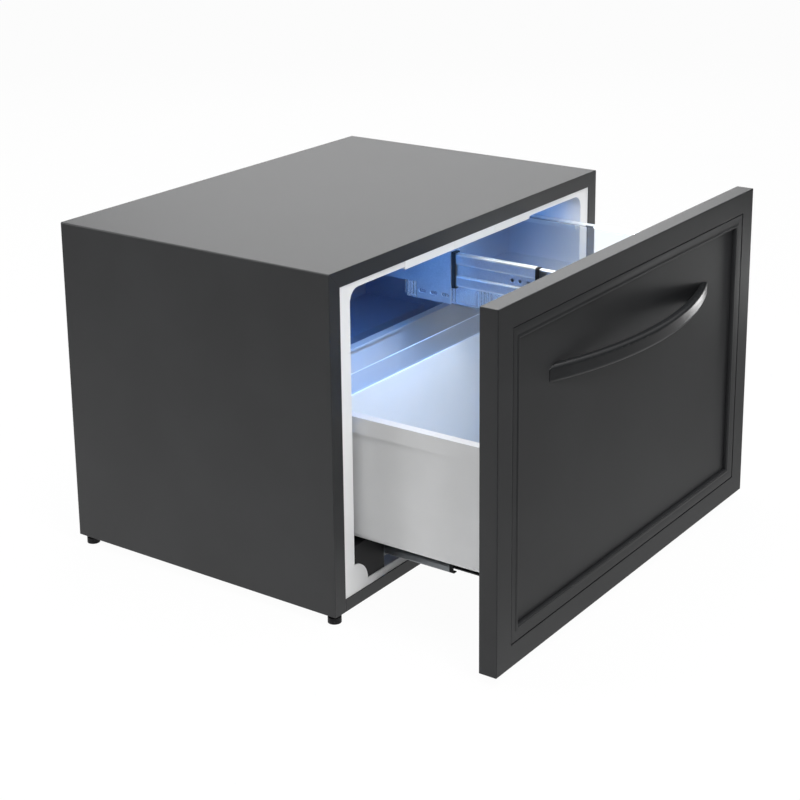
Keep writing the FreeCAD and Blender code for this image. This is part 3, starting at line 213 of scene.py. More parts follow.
def zincSheet(name, spangle, rough, tone=1.0):
    look = Look(name)
    flake = look.node("ShaderNodeSeparateColor", None, {"Color": look.cells(spangle, "Color")}, 0)
    drawn = look.noise(*zinc["drawn"])
    stain = look.noise(*zinc["smut"]) * zinc["smutShare"] + flake * zinc["flakeShare"]
    # tone scales both colours; below 1 it darkens the zinc as painted shade
    dull, bright = (shade([c * tone for c in zinc[key]]) for key in ("dull", "bright"))
    sheen = flake * zinc["flakeGloss"] + drawn * zinc["drawnGloss"]
    look.set(Base_Color=look.blend(look.remap(stain, 0.0, 1.0, zinc["mixFrom"], zinc["mixTo"]), dull, bright),
             Metallic=zinc["metal"],
             Roughness=look.remap(sheen, rough - zinc["smoother"], rough + zinc["rougher"]),
             Normal=look.bump(flake * zinc["flakeHeight"] + drawn, *zinc["bump"]))
    return look


paint(["back_panel", "machine_bulkhead", "compressor_base"],
      zincSheet("zinc_sheet", zinc["sheetSpangle"], zinc["sheetRough"]))
paint(["hangers", "upper_outer_rail", "upper_middle_rail", "upper_inner_rail", "door_brackets", "tub_brackets"],
      zincSheet("zinc_rail", zinc["railSpangle"], zinc["railRough"]))
# The lower rails take a darkened copy of the zinc: painted shade for the shadow under the tub
paint(["lower_outer_rail_left", "lower_outer_rail_right", "lower_middle_rail_left", "lower_middle_rail_right"],
      zincSheet("oiled_rail", zinc["railSpangle"], zinc["railRough"], zinc["paintedShadeTone"]))

# Screw and ball steel
steel = {"dull": (0.42, 0.43, 0.44), "bright": (0.62, 0.63, 0.64), "smooth": 0.22, "worn": 0.42,
         "wear": (900.0, 3.0, 0.6), "bump": (0.2, 0.00004)}


def screwSteel():
    look = Look("screw_steel")
    wear = look.noise(*steel["wear"])
    look.set(Base_Color=look.blend(wear, shade(steel["dull"]), shade(steel["bright"])), Metallic=1.0,
             Roughness=look.remap(wear, steel["smooth"], steel["worn"]), Normal=look.bump(wear, *steel["bump"]))
    return look


steelLook = screwSteel()
paint(["rear_screws", "handle_screws", "bracket_screws"], steelLook)

# Plastics and rubber: two tones that blend, and the roughness, with the grain where it isn't the usual one
grained = {"detail": 2.0, "sharp": 0.5, "scale": 1500.0, "depth": 0.00003, "strength": 0.4, "gloss": 0.08,
           "cloud": (14.0, 2.0, 0.5), "cloudFrom": 0.35, "cloudTo": 0.65, "sheenFrom": 0.3, "sheenTo": 0.7,
           "smoother": 0.04, "rougher": 0.06}
plastics = {
    "white_moulding": {"tones": [(0.78, 0.82, 0.86), (0.84, 0.87, 0.9)], "rough": 0.34},
    "divider_white": {"tones": [(0.83, 0.89, 0.93), (0.86, 0.91, 0.95)], "rough": 0.34},
    "lamp_white": {"tones": [(0.82, 0.83, 0.84), (0.85, 0.86, 0.87)], "rough": 0.32},
    "cover_plastic": {"tones": [(0.82, 0.84, 0.85), (0.85, 0.86, 0.87)], "rough": 0.36},
    "grey_tub": {"tones": [(0.62, 0.625, 0.63), (0.66, 0.665, 0.67)], "rough": 0.34, "scale": 1100.0},
    "black_plastic": {"tones": [(0.006, 0.006, 0.007), (0.01, 0.01, 0.011)], "rough": 0.55, "scale": 1800.0,
                      "depth": 0.00005, "shine": 0.2},
    "black_rail": {"tones": [(0.015, 0.016, 0.018), (0.03, 0.031, 0.034)], "rough": 0.35, "scale": 700.0},
    "compressor_paint": {"tones": [(0.01, 0.01, 0.011), (0.018, 0.018, 0.019)], "rough": 0.25, "scale": 260.0,
                         "depth": 0.0002},
    "gasket_rubber": {"tones": [(0.03, 0.03, 0.032), (0.05, 0.05, 0.052)], "rough": 0.6, "scale": 900.0,
                      "depth": 0.00006}}


def mottled(look, cloud, rough):
    return look.remap(cloud, rough - grained["smoother"], rough + grained["rougher"], grained["sheenFrom"],
                      grained["sheenTo"])


def moulded(name):
    plastic = plastics[name]
    look = Look(name)
    grain = look.noise(plastic.get("scale", grained["scale"]), grained["detail"], grained["sharp"])
    cloud = look.noise(*grained["cloud"])
    patches = look.remap(cloud, 0.0, 1.0, grained["cloudFrom"], grained["cloudTo"])
    look.set(Base_Color=look.blend(patches, *(shade(tone) for tone in plastic["tones"])),
             Roughness=mottled(look, cloud, plastic["rough"]) + (grain - 0.5) * grained["gloss"],
             Normal=look.bump(grain, grained["strength"], plastic.get("depth", grained["depth"])),
             Specular_IOR_Level=plastic.get("shine", 0.5))
    return look


# The liner's second colour is painted shade and painted blue lamp light for the inside of the chamber
white = {"liner": (0.82, 0.82, 0.82), "deep": (0.36, 0.42, 0.58), "rough": 0.34, "fadeStart": -0.068,
         "fadeEnd": 0.03, "chalk": 0.1}


def linerLook():
    # White at the opening, fading to a darker blue-grey further in: painted shade and painted blue lamp light,
    # set by depth along Y
    look = Look("white_liner")
    grain = look.noise(grained["scale"], grained["detail"], grained["sharp"])
    cloud = look.noise(*grained["cloud"])
    # Painted shade and blue lamp light: the colour darkens and turns blue with depth into the chamber
    inside = look.remap(look.part(look.place(), "Y"), 0.0, 1.0, white["fadeStart"], white["fadeEnd"])
    tone = look.blend(inside, shade(white["liner"]), shade(white["deep"]))
    look.set(Base_Color=look.blend(look.remap(cloud, 0.0, white["chalk"]), tone, (1, 1, 1, 1)),
             Roughness=mottled(look, cloud, white["rough"]),
             Normal=look.bump(grain, grained["strength"], grained["depth"]))
    return look


paint(["liner"], linerLook())
paint(["door_inner_panel", "tray_guide"], moulded("white_moulding"))
paint(["divider_wall"], moulded("divider_white"))
paint(["lamp_housings"], moulded("lamp_white"))
paint(["control_cover"], moulded("cover_plastic"))
paint(["tub"], moulded("grey_tub"))
paint(["runner_block_left", "runner_block_right", "lower_bumpers", "upper_bumper", "upper_end_stop",
       "rail_latches", "start_box", "electrical_box", "power_inlet", "feet"], moulded("black_plastic"))
paint(["lower_inner_rail_left", "lower_inner_rail_right"], moulded("black_rail"))
paint(["compressor"], moulded("compressor_paint"))
rubberLook = moulded("gasket_rubber")
paint(["door_gasket", "compressor_grommets"], rubberLook)

# Rigid foam
foam = {"cells": 420.0, "cloud": (24.0, 3.0, 0.6), "dark": (0.62, 0.54, 0.34), "light": (0.76, 0.69, 0.48),
        "rough": 0.85, "bump": (0.7, 0.0008)}


def foamLook():
    look = Look("rigid_foam")
    tone = look.blend(look.noise(*foam["cloud"]), shade(foam["dark"]), shade(foam["light"]))
    look.set(Base_Color=tone, Roughness=foam["rough"],
             Normal=look.bump(look.cells(foam["cells"]), *foam["bump"]))
    return look


paint(["insulation_foam", "door_foam"], foamLook())

# Clear mouldings, whose top edges are matt and whitish: partly the real matt of sawn and moulded edges, partly a
# painted highlight for the bright glow along them
clear = {"tint": (0.92, 0.96, 1.0), "smooth": 0.04, "rippled": 0.1, "rippleFrom": 0.3, "rippleTo": 0.7,
         "ripple": (30.0, 2.0, 0.5), "bump": (0.08, 0.0004), "through": 0.92, "bend": 1.46,
         "frostAndHighlight": (0.86, 0.92, 0.97), "frostRough": 0.5, "frostThrough": 0.25, "edgeDepth": 0.0012,
         "edgeFacing": 0.7}


def clearPlastic(name, node):
    look = Look(name)
    ripple = look.noise(*clear["ripple"])
    rough = look.remap(ripple, clear["smooth"], clear["rippled"], clear["rippleFrom"], clear["rippleTo"])
    look.set(Base_Color=shade(clear["tint"]), Transmission_Weight=clear["through"], IOR=clear["bend"],
             Roughness=rough, Normal=look.bump(ripple, *clear["bump"]))
    rise = look.part(look.place(), "Z")
    facing = look.part(look.node("ShaderNodeTexCoord", output="Normal"), "Z")
    # Mask of the top edges, which take the whitish frost and painted highlight
    edge = facing.above(clear["edgeFacing"]) * rise.above(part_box(node)[1].z - clear["edgeDepth"])
    frostAndHighlight = look.node("ShaderNodeBsdfPrincipled", None, {
        "Base Color": shade(clear["frostAndHighlight"]), "Roughness": clear["frostRough"],
        "Transmission Weight": clear["frostThrough"]})
    look.over(edge, frostAndHighlight)
    return look


for name, node in (("clear_tray", "tray"), ("clear_guard", "guard"), ("clear_clips", "tray_clips")):
    paint([node], clearPlastic(name, node))

# Lamp lenses
lens = {"colour": (0.85, 0.93, 1.0), "rough": 0.3, "glow": (0.55, 0.78, 1.0), "strength": 5.0, "prisms": 260.0,
        "bump": (0.3, 0.0003)}


def lensGlow():
    look = Look("lamp_lens")
    prism = look.node("ShaderNodeTexWave", None, {"Vector": look.place(), "Scale": lens["prisms"]}, 1)
    look.set(Base_Color=shade(lens["colour"]), Roughness=lens["rough"], Emission_Color=shade(lens["glow"]),
             Emission_Strength=lens["strength"], Normal=look.bump(prism, *lens["bump"]))
    return look


paint(["lamp_lenses"], lensGlow())

# Bare metals of the cooling parts
bare = {"stain": (60.0, 4.0, 0.6), "fine": (1500.0, 2.0, 0.5), "bump": (0.2, 0.00004), "from": 0.3, "to": 0.7,
        "rougher": 0.2}
metals = {"rolled_aluminium": {"dull": (0.6, 0.61, 0.63), "bright": (0.75, 0.76, 0.78), "rough": 0.3},
          "drawn_copper": {"dull": (0.42, 0.2, 0.12), "bright": (0.72, 0.4, 0.26), "rough": 0.28}}


def bareMetal(name):
    metal = metals[name]
    look = Look(name)
    stain = look.noise(*bare["stain"])
    patches = look.remap(stain, 0.0, 1.0, bare["from"], bare["to"])
    rough = look.remap(stain, metal["rough"], metal["rough"] + bare["rougher"], bare["from"], bare["to"])
    look.set(Base_Color=look.blend(patches, shade(metal["dull"]), shade(metal["bright"])), Metallic=1.0,
             Roughness=rough, Normal=look.bump(look.noise(*bare["fine"]), *bare["bump"]))
    return look


aluminiumLook = bareMetal("rolled_aluminium")
paint(["evaporator_plate", "condenser_fins"], aluminiumLook)
copperLook = bareMetal("drawn_copper")
paint(["condenser_coil", "suction_pipe", "filter_dryer"], copperLook)
print("stage: materials")


def outward(mesh):
    work = bmesh.new()
    work.from_mesh(mesh)
    bmesh.ops.recalc_face_normals(work, faces=work.faces)
    work.to_mesh(mesh)
    work.free()


# Door moulding: a mitred strip with a groove outside and a rounded bead inside

moulding = {"sharp": 0.6, "section": [  # inset from the frame's opening and height over the panel, in mm
    (0, 0), (0, 3.4), (0.9, 3.4), (1.0, 5.2), (1.3, 5.6), (1.9, 5.75), (11.0, 4.55), (11.4, 4.6), (12.0, 5.1),
    (12.8, 5.45), (13.7, 5.5), (14.6, 5.3), (15.4, 4.8), (15.85, 4.1), (16, 3.4), (16, 0)]}


def doorMoulding():
    low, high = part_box("door_bevel")
    section = moulding["section"]
    corners = 4
    points = []
    for inset, rise in section:
        inset = inset * millimetre
        y = high.y - rise * millimetre
        left, right, bottom, top = low.x + inset, high.x - inset, low.z + inset, high.z - inset
        points += [(left, y, bottom), (right, y, bottom), (right, y, top), (left, y, top)]
    faces = []
    for step in range(len(section)):
        here, ahead = corners * step, corners * ((step + 1) % len(section))
        for corner in range(corners):
            beside = (corner + 1) % corners
            faces.append((here + corner, here + beside, ahead + beside, ahead + corner))
    mesh = bpy.data.meshes.new("door_moulding")
    mesh.from_pydata(points, [], faces)
    mesh.shade_smooth()
    mesh.set_sharp_from_angle(angle=moulding["sharp"])
    piece = bpy.data.objects.new("door_moulding", mesh)
    scene.collection.objects.link(piece)
    outward(mesh)
    paint([piece], doorLook)
    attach(piece, "drawer")
    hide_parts("door_bevel")


doorMoulding()


# Pieces grown by Geometry Nodes

class Plan(Tree):
    # A Geometry Nodes tree with named sizes, which ends in real, painted mesh.
    def __init__(self, name):
        super().__init__(bpy.data.node_groups.new(name, "GeometryNodeTree"))
        self.keys = {}
        self.tree.interface.new_socket("Geometry", in_out="INPUT", socket_type="NodeSocketGeometry")
        self.tree.interface.new_socket("Geometry", in_out="OUTPUT", socket_type="NodeSocketGeometry")
        self.inlet = self.tree.nodes.new("NodeGroupInput")
        self.start = Wire(self, self.inlet.outputs[0])

    def size(self, name, value=None, kind="Float"):
        socket = self.tree.interface.new_socket(name, in_out="INPUT", socket_type="NodeSocket" + kind)
        if value is not None:
            socket.default_value = value
        self.keys[name] = socket.identifier
        return Wire(self, self.inlet.outputs[name])

    def vector(self, x, y, z):
        return self.node("ShaderNodeCombineXYZ", None, {"X": x, "Y": y, "Z": z})

    def join(self, *shapes):
        made = self.tree.nodes.new("GeometryNodeJoinGeometry")
        for shape in shapes:
            self.tree.links.new(shape.socket, made.inputs[0])
        return Wire(self, made.outputs[0])

    def carve(self, operation, first, *others):
        made = self.tree.nodes.new("GeometryNodeMeshBoolean")
        made.operation = operation
        if first is not None:
            self.feed(made.inputs["Mesh 1"], first)
        for other in others:
            self.tree.links.new(other.socket, made.inputs["Mesh 2"])
        return Wire(self, made.outputs[0])

    def row(self, count, step):
        return self.node("GeometryNodeMeshLine", {"mode": "OFFSET"}, {"Count": count, "Offset": step})

    def cube(self, size):
        return self.node("GeometryNodeMeshCube", None, {"Size": size})

    def cylinder(self, sides, radius, depth):
        inputs = {"Vertices": sides, "Radius": radius, "Depth": depth}
        return self.node("GeometryNodeMeshCylinder", None, inputs)

    def ball(self, segments, rings, radius):
        inputs = {"Segments": segments, "Rings": rings, "Radius": radius}
        return self.node("GeometryNodeMeshUVSphere", None, inputs)

    def move(self, shape, shift, turn=(0, 0, 0)):
        inputs = {"Geometry": shape, "Translation": shift, "Rotation": turn}
        return self.node("GeometryNodeTransform", None, inputs)

    def copies(self, points, shape, turn=(0, 0, 0)):
        inputs = {"Points": points, "Instance": shape, "Rotation": turn}
        return self.node("GeometryNodeInstanceOnPoints", None, inputs)

    def smooth(self, shape):
        return self.node("GeometryNodeSetShadeSmooth", None, {0: shape})

    def sweep(self, path, section, capped=False):
        inputs = {"Curve": path, "Profile Curve": section, "Fill Caps": capped}
        return self.node("GeometryNodeCurveToMesh", None, inputs)

    def finish(self, shape, look):
        real = self.node("GeometryNodeRealizeInstances", None, {"Geometry": shape})
        inputs = {"Geometry": real, "Material": look.material}
        painted = self.node("GeometryNodeSetMaterial", None, inputs)
        out = self.tree.nodes.new("NodeGroupOutput")
        self.feed(out.inputs["Geometry"], painted)


def grow(plan, name, body, points, sizes, edges=(), turns=None):
    # Runs a plan on a few start points and keeps the plain mesh that comes out
    start = bpy.data.meshes.new(name + "_start")
    start.from_pydata([tuple(point) for point in points], list(edges), [])
    if turns is not None:
        flat = [value for turn in turns for value in turn]
        start.attributes.new("turn", "FLOAT_VECTOR", "POINT").data.foreach_set("vector", flat)
    piece = bpy.data.objects.new(name, start)
    scene.collection.objects.link(piece)
    modifier = piece.modifiers.new("plan", "NODES")
    modifier.node_group = plan.tree
    for key, value in sizes.items():
        modifier[plan.keys[key]] = value
    ready = piece.evaluated_get(bpy.context.evaluated_depsgraph_get())
    mesh = bpy.data.meshes.new_from_object(ready)
    piece.modifiers.remove(modifier)
    piece.data = mesh
    outward(mesh)
    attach(piece, body)
    print("grown:", name, len(mesh.polygons), "faces")
    return piece


solids = {"weld": 1e-6, "sortDigits": 5}


def solidBoxes(name):
    # Lowest and highest corner of each separate solid of a CAD node
    work = bmesh.new()
    work.from_mesh(nodes[name].data)
    bmesh.ops.remove_doubles(work, verts=work.verts, dist=solids["weld"])
    left = set(work.verts)
    boxes = []
    while left:
        chain = [left.pop()]
        found = []
        while chain:
            vertex = chain.pop()
            found.append(vertex.co.copy())
            for edge in vertex.link_edges:
                other = edge.other_vert(vertex)
                if other in left:
                    left.remove(other)
                    chain.append(other)
        boxes.append(tuple(Vector(pick(co[i] for co in found) for i in range(3)) for pick in (min, max)))
    work.free()
    return sorted(boxes, key=lambda box: tuple(round(c, solids["sortDigits"]) for c in box[0]))


# Bearing balls in their cages

beads = {"sheet": 0.0012, "clearance": 0.00004, "endGap": 0.006, "pitch": 1.45, "segments": 8, "rings": 6,
         "cageThick": 0.0005, "cageWidth": 0.0036, "cageThickShare": 0.4, "cageWidthShare": 5}


def beadPlan():
    plan = Plan("bearing_balls")
    radius = plan.size("Ball radius")
    pitch = plan.size("Pitch")
    count = plan.size("Count", kind="Int")
    thick = plan.size("Cage thickness")
    width = plan.size("Cage width")
    line = plan.row(count, plan.vector(0.0, pitch, 0.0))
    ball = plan.smooth(plan.ball(beads["segments"], beads["rings"], radius))
    strip = plan.cube(plan.vector(width, count * pitch, thick))
    strip = plan.move(strip, plan.vector(0.0, (count - 1.0) * pitch * 0.5, 0.0))
    plan.finish(plan.copies(plan.start, plan.join(plan.copies(line, ball), strip)), steelLook)
    return plan


def beadRows(plan, name, body, middles, inners):
    # Two rows in each slide, between the middle rail's flanges and the drawer's rail
    points = []
    for middle, inner in zip(middles, inners):
        low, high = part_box(middle)
        innerLow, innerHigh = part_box(inner)
        room = innerLow.z - (low.z + beads["sheet"])
        radius = room / 2 - beads["clearance"]
        centre = (max(low.x, innerLow.x) + min(high.x, innerHigh.x)) / 2
        begin = low.y + beads["endGap"]
        end = innerHigh.y - beads["endGap"]
        for height in (low.z + beads["sheet"] + room / 2, high.z - beads["sheet"] - room / 2):
            points.append((centre, begin, height))
    pitch = 2 * radius * beads["pitch"]
    sizes = {"Ball radius": radius, "Pitch": pitch, "Count": int((end - begin) / pitch),
             "Cage thickness": min(beads["cageThick"], radius * beads["cageThickShare"]),
             "Cage width": min(beads["cageWidth"], radius * beads["cageWidthShare"])}
    grow(plan, name, body, points, sizes)


beadTree = beadPlan()
beadRows(beadTree, "lower_bearing_balls", "lower_runners",
         ("lower_middle_rail_left", "lower_middle_rail_right"),
         ("lower_inner_rail_left", "lower_inner_rail_right"))
beadRows(beadTree, "upper_bearing_balls", "upper_runner", ("upper_middle_rail",), ("upper_inner_rail",))


# Pan-head screws with a cross recess

screws = {"rim": 0.45, "slotWidth": 0.22, "slotReach": 1.2, "slotDepth": 0.6, "seed": 7, "sides": 28,
          "domeSegments": 48, "domeRings": 96}


def screwPlan():
    plan = Plan("cross_head_screws")
    radius = plan.size("Head radius")
    height = plan.size("Head height")
    seed = plan.size("Seed", screws["seed"], "Int")
    body = plan.cylinder(screws["sides"], radius, height)
    body = plan.move(body, plan.vector(0.0, 0.0, height * 0.5))
    crown = height * (1.0 - screws["rim"])
    bow = (radius * radius + crown * crown) / (crown * 2.0)
    dome = plan.ball(screws["domeSegments"], screws["domeRings"], bow)
    dome = plan.move(dome, plan.vector(0.0, 0.0, height - bow))
    top = plan.carve("INTERSECT", None, body, dome)
    depth = height * screws["slotDepth"] * 2.0
    bar = plan.cube(plan.vector(radius * screws["slotReach"], radius * screws["slotWidth"], depth))
    bar = plan.move(bar, plan.vector(0.0, 0.0, height))
    cut = plan.carve("DIFFERENCE", top, bar, plan.move(bar, (0, 0, 0), (0, 0, math.pi / 2)))
    turn = plan.node("GeometryNodeInputNamedAttribute", {"data_type": "FLOAT_VECTOR"}, {"Name": "turn"})
    heads = plan.copies(plan.start, cut, turn)
    span = {2: 0.0, 3: math.tau, "Seed": seed}
    roll = plan.node("FunctionNodeRandomValue", {"data_type": "FLOAT"}, span, 1)
    spin = {"Instances": heads, "Rotation": plan.vector(0.0, 0.0, roll), "Local Space": True}
    plan.finish(plan.node("GeometryNodeRotateInstances", None, spin), steelLook)
    return plan


def screwHeads(plan, node, body, axis):
    # The crowns point to the rear, or to each side away from the bracket
    boxes = solidBoxes(node)
    sized = boxes[0][1] - boxes[0][0]
    across = (axis + 1) % 3
    quarter = math.pi / 2
    points = []
    turns = []
    for low, high in boxes:
        middle = (low + high) / 2
        side = 1 if axis == 1 or middle[axis] < 0 else -1
        middle[axis] = low[axis] if side > 0 else high[axis]
        points.append(middle)
        turns.append((-quarter, 0, 0) if axis == 1 else (0, side * quarter, 0))
    sizes = {"Head radius": sized[across] / 2, "Head height": sized[axis]}
    piece = grow(plan, node + "_cross", body, points, sizes, (), turns)
    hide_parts(node)


screwTree = screwPlan()
screwHeads(screwTree, "rear_screws", "cabinet", 1)
screwHeads(screwTree, "bracket_screws", "drawer", 0)


# Wires that are welded across the condenser's tube

wires = {"radius": 0.0005, "perFin": 6, "reach": 0.003, "sides": 6, "bite": 0.9}


def condenserWires():
    coilLow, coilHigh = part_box("condenser_coil")
    fins = solidBoxes("condenser_fins")
    firstFin = (fins[0][0].x + fins[0][1].x) / 2
    pitch = (fins[1][0].x - fins[0][0].x) / wires["perFin"]
    plan = Plan("condenser_wires")
    radius = plan.size("Wire radius", wires["radius"])
    step = plan.size("Pitch")
    height = plan.size("Height")
    count = plan.size("Count", kind="Int")
    skip = plan.size("First fin", kind="Int")
    line = plan.row(count, plan.vector(step, 0.0, 0.0))
    perFin = float(wires["perFin"])
    number = plan.node("GeometryNodeInputIndex") - skip + perFin
    bay = number.math("MODULO", number, perFin)
    kept = {"Geometry": line, "Selection": 0.5 - bay}  # no wire where a fin stands
    line = plan.node("GeometryNodeDeleteGeometry", None, kept)
    wire = plan.cylinder(wires["sides"], radius, height)
    plan.finish(plan.copies(plan.start, plan.copies(line, plan.smooth(wire))), aluminiumLook)
    before = int((firstFin - coilLow.x) / pitch)
    first = firstFin - before * pitch
    middle = (coilLow.z + coilHigh.z) / 2
    offset = wires["radius"] * wires["bite"]
    points = [(first, coilLow.y - offset, middle), (first, coilHigh.y + offset, middle)]
    sizes = {"Pitch": pitch, "Height": coilHigh.z - coilLow.z + 2 * wires["reach"],
             "Count": int((coilHigh.x - first) / pitch), "First fin": before}
    grow(plan, "condenser_wires", "cabinet", points, sizes)


condenserWires()


# Magnetic gasket: one bellows section around the inner door, in mm

gasket = {"corner": 0.012, "cornerSteps": 8, "rubber": [
    (-7, 0), (7, 0), (7.6, 1.2), (6.2, 2.2), (3.2, 2.6), (3, 3.4), (6.2, 4.4), (8, 6.6), (7.2, 8.6), (5, 9),
    (-5, 9), (-7.2, 8.6), (-8, 6.6), (-6.2, 4.4), (-3, 3.4), (-3.2, 2.6), (-6.2, 2.2), (-7.6, 1.2)]}


def doorGasket():
    low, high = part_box("door_gasket")
    rubber = gasket["rubber"]
    wide = 2 * max(x for x, y in rubber) * millimetre
    plan = Plan("door_gasket")
    width = plan.size("Width")
    height = plan.size("Height")
    corner = plan.size("Corner radius", gasket["corner"])
    path = plan.node("GeometryNodeCurvePrimitiveQuadrilateral", None, {"Width": width, "Height": height})
    bend = {"Curve": path, "Radius": corner, "Count": gasket["cornerSteps"]}
    path = plan.node("GeometryNodeFilletCurve", {"mode": "POLY"}, bend)
    swept = plan.sweep(path, plan.node("GeometryNodeMeshToCurve", None, {"Mesh": plan.start}))
    swept = plan.move(swept, (0, low.y, (low.z + high.z) / 2), (math.pi / 2, 0, 0))
    plan.finish(swept, rubberLook)
    points = [(x * millimetre, y * millimetre, 0.0) for x, y in rubber]
    edges = [(i, (i + 1) % len(points)) for i in range(len(points))]
    sizes = {"Width": high.x - low.x - wide, "Height": high.z - low.z - wide}
    piece = grow(plan, "door_gasket_bellows", "drawer", points, sizes, edges)
    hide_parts("door_gasket")


doorGasket()


# Capillary tube from the filter dryer, wound once beside it and up to the bulkhead

capillary = {"radius": 0.001, "sides": 8, "smoothing": 5, "turns": 5, "perTurn": 10, "loop": 0.02,
             "pitch": 0.0032, "centre": (0.078, 0.252), "lift": 0.05, "mouthDepth": 0.002,
             "lead": [(0, 0, 0), (0, 0, -0.006), (0.012, 0.004, -0.012), (0.034, 0.012, -0.008)],
             "leave": [(0.088, 0.276, 0.085), (0.06, 0.28, 0.115), (0.0, 0.268, 0.142), (-0.06, 0.26, 0.15),
                       (-0.088, 0.2585, 0.154), (-0.09, 0.2585, 0.1612)]}


def capillaryTube():
    low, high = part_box("filter_dryer")
    mouth = ((low.x + high.x) / 2, (low.y + high.y) / 2, low.z + capillary["mouthDepth"])
    points = [tuple(m + s for m, s in zip(mouth, step)) for step in capillary["lead"]]
    perTurn, loop = capillary["perTurn"], capillary["loop"]
    x, y = capillary["centre"]
    for step in range(capillary["turns"] * perTurn + 1):
        angle = math.pi + step * math.tau / perTurn
        points.append((x + loop * math.cos(angle), y - loop * math.sin(angle),
                       capillary["lift"] + capillary["pitch"] * step / perTurn))
    points += capillary["leave"]
    plan = Plan("capillary_tube")
    radius = plan.size("Tube radius", capillary["radius"])
    path = plan.node("GeometryNodeMeshToCurve", None, {"Mesh": plan.start})
    path = plan.node("GeometryNodeCurveSplineType", {"spline_type": "CATMULL_ROM"}, {"Curve": path})
    finer = {"Geometry": path, "Resolution": capillary["smoothing"]}
    path = plan.node("GeometryNodeSetSplineResolution", None, finer)
    ring = {"Resolution": capillary["sides"], "Radius": radius}
    tube = plan.sweep(path, plan.node("GeometryNodeCurvePrimitiveCircle", None, ring), True)
    plan.finish(plan.smooth(tube), copperLook)
    edges = [(i, i + 1) for i in range(len(points) - 1)]
    sizes = {"Tube radius": capillary["radius"]}
    grow(plan, "capillary_tube", "cabinet", points, sizes, edges)


capillaryTube()
print("stage: grown pieces")


# Light, floor and camera

studio = {"floorSize": 12.0, "floorLevel": -0.0002, "floorColour": 0.85, "floorRough": 0.9, "floorShine": 0.97,
          "nearGloss": 1.0, "farGloss": 0.2, "nearEdge": 0.5, "farEdge": 1.25, "glossCentre": (-0.45, 0.42, 0.0),
          "patchGloss": 0.32, "patchCentre": (0.5, -0.55, 0.0), "patchNear": 0.15, "patchFar": 0.6,
          "skyGloss": 0.5, "skyLow": 0.25, "skyHigh": 0.45, "fill": 0.03}


def sightRays(tree):
    # Reflected rays, and the rays that see the backdrop straight or through clear plastic
    rays = tree.node("ShaderNodeLightPath").socket.node.outputs
    seen = Wire(tree, rays["Is Camera Ray"]) + Wire(tree, rays["Is Transmission Ray"])
    return Wire(tree, rays["Is Glossy Ray"]), seen


def worldLight():
    # White where the camera looks past the floor, dim and dark near the horizon in reflections
    scene.world = bpy.data.worlds.new("studio")
    scene.world.use_nodes = True
    scene.world.node_tree.nodes.clear()
    world = Tree(scene.world.node_tree)
    gloss, seen = sightRays(world)
    aim = world.node("ShaderNodeTexCoord", output="Generated")
    height = world.node("ShaderNodeSeparateXYZ", None, {"Vector": aim}, "Z")
    sky = world.node("ShaderNodeMapRange", None, {
        "Value": height, "From Min": studio["skyLow"], "From Max": studio["skyHigh"],
        "To Max": studio["skyGloss"]})
    strength = seen + gloss * sky + (1.0 - seen - gloss) * studio["fill"]
    inputs = {"Color": (1, 1, 1, 1), "Strength": strength.most(0.0).least(1.0)}
    shine = world.node("ShaderNodeBackground", None, inputs)
    world.node("ShaderNodeOutputWorld", None, {"Surface": shine}, None)


def paleFloor():
    # White to the camera, with the object's shadow, and paler near the object than far off in reflections
    half = studio["floorSize"]
    low = studio["floorLevel"]
    mesh = bpy.data.meshes.new("floor")
    points = [(-half, -half, low), (half, -half, low), (half, half, low), (-half, half, low)]
    mesh.from_pydata(points, [], [(0, 1, 2, 3)])
    floor = bpy.data.objects.new("floor", mesh)
    scene.collection.objects.link(floor)
    look = Look("pale_floor")
    tone = studio["floorColour"]
    look.set(Base_Color=(tone, tone, tone, 1), Roughness=studio["floorRough"], Specular_IOR_Level=0.0)
    gloss, seen = sightRays(look)

    def reach(centre):
        inputs = {0: look.spot(), 1: studio[centre]}
        return look.node("ShaderNodeVectorMath", {"operation": "DISTANCE"}, inputs, "Value")

    near = look.remap(reach("glossCentre"), studio["nearGloss"], studio["farGloss"], studio["nearEdge"],
                      studio["farEdge"])
    patch = look.remap(reach("patchCentre"), studio["patchGloss"], 0.0, studio["patchNear"], studio["patchFar"])
    inputs = {"Color": (1, 1, 1, 1), "Strength": seen + gloss * (near + patch)}
    glow = look.node("ShaderNodeEmission", None, inputs)
    mixed = look.over(seen * studio["floorShine"] + gloss, glow)
    below = look.node("ShaderNodeNewGeometry", output="Backfacing")
    look.over(below, look.node("ShaderNodeBsdfTransparent"), mixed)
    paint([floor], look)


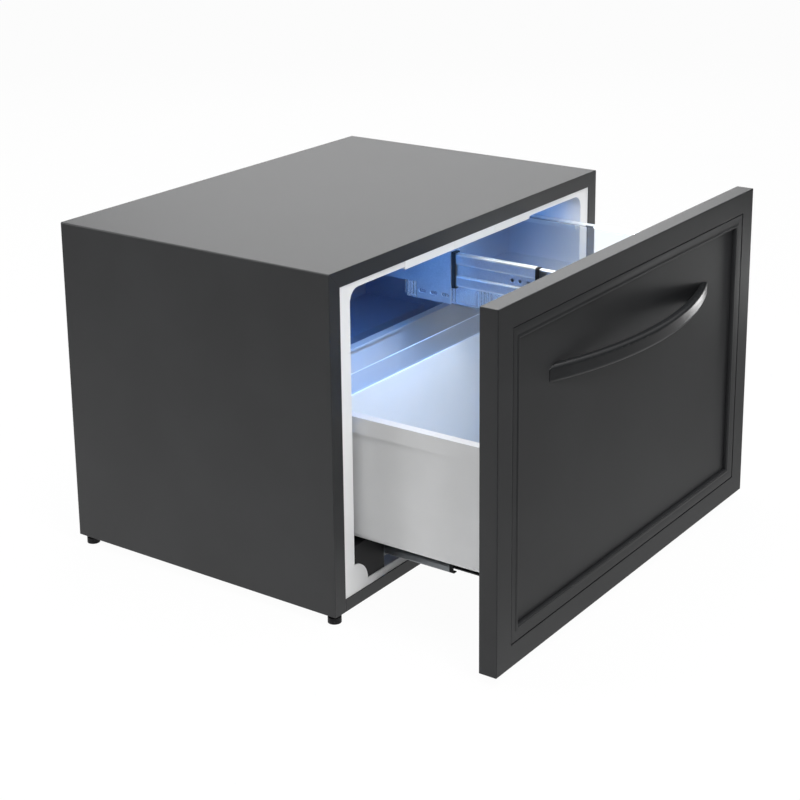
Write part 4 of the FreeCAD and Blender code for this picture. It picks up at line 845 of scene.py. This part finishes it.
def areaLight(name, place, target, size, power, colour=(1, 1, 1)):
    data = bpy.data.lights.new(name, "AREA")
    data.shape = "RECTANGLE"
    data.size, data.size_y = size
    data.energy = power
    data.color = colour
    lamp = bpy.data.objects.new(name, data)
    scene.collection.objects.link(lamp)
    lamp.location = place
    aim = (Vector(target) - Vector(place)).normalized()
    lamp.rotation_euler = aim.to_track_quat("-Z", "Y").to_euler()
    lamp.visible_camera = False


# Place, target, size and power of each studio light
softboxes = {
    "overhead_light": ((0.1, -0.1, 2.0), (0, -0.1, 0.2), (1.6, 1.2), 44.0),
    "key_light": ((-0.9, -1.7, 2.0), (-0.1, -0.1, 0.3), (1.0, 1.0), 40.0),
    "low_right_light": ((1.1, -0.33, 0.06), (0.2, -0.33, 0.25), (0.34, 0.1), 0.9),
    "rear_right_light": ((2.3, 1.7, 1.5), (0, 0, 0.4), (2.2, 1.0), 27.0),
    "rear_left_light": ((-1.6, 2.2, 1.3), (0, 0, 0.3), (1.4, 1.0), 40.0)}
# The two lamps behind the lenses, which shine down and to the rear
interior = {"across": (-0.0975, 0.0815), "below": 0.002, "rearward": 0.24, "downward": 0.2,
            "shape": ((0.06, 0.01), 0.55, (0.13, 0.4, 1.0))}  # size, power and colour

worldLight()
paleFloor()
for name, box in softboxes.items():
    areaLight(name, *box)
lensLow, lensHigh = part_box("lamp_lenses")
for index, across in enumerate(interior["across"]):
    place = (across, (lensLow.y + lensHigh.y) / 2, lensLow.z - interior["below"])
    target = (across, lensHigh.y + interior["rearward"], lensLow.z - interior["downward"])
    areaLight("interior_lamp_" + str(index), place, target, *interior["shape"])

view = {"lens": 80.044, "sensor": 36.0, "down": -0.2, "place": (-1.72225, -1.18608, 0.95192),
        "right": (0.57633205, -0.81715549, -0.00991282), "up": (0.22318292, 0.14571676, 0.96382364),
        "forward": (0.78614932, 0.55769483, -0.26635639)}
camData = bpy.data.cameras.new("camera")
camData.lens = view["lens"]
camData.sensor_width = view["sensor"]
camData.shift_y = view["down"]
cam = bpy.data.objects.new("camera", camData)
scene.collection.objects.link(cam)
turn = Matrix((view["right"], view["up"], tuple(-c for c in view["forward"]))).transposed().to_4x4()
cam.matrix_world = Matrix.Translation(view["place"]) @ turn
scene.camera = cam
scene.view_settings.view_transform = "Standard"
print("stage: camera")
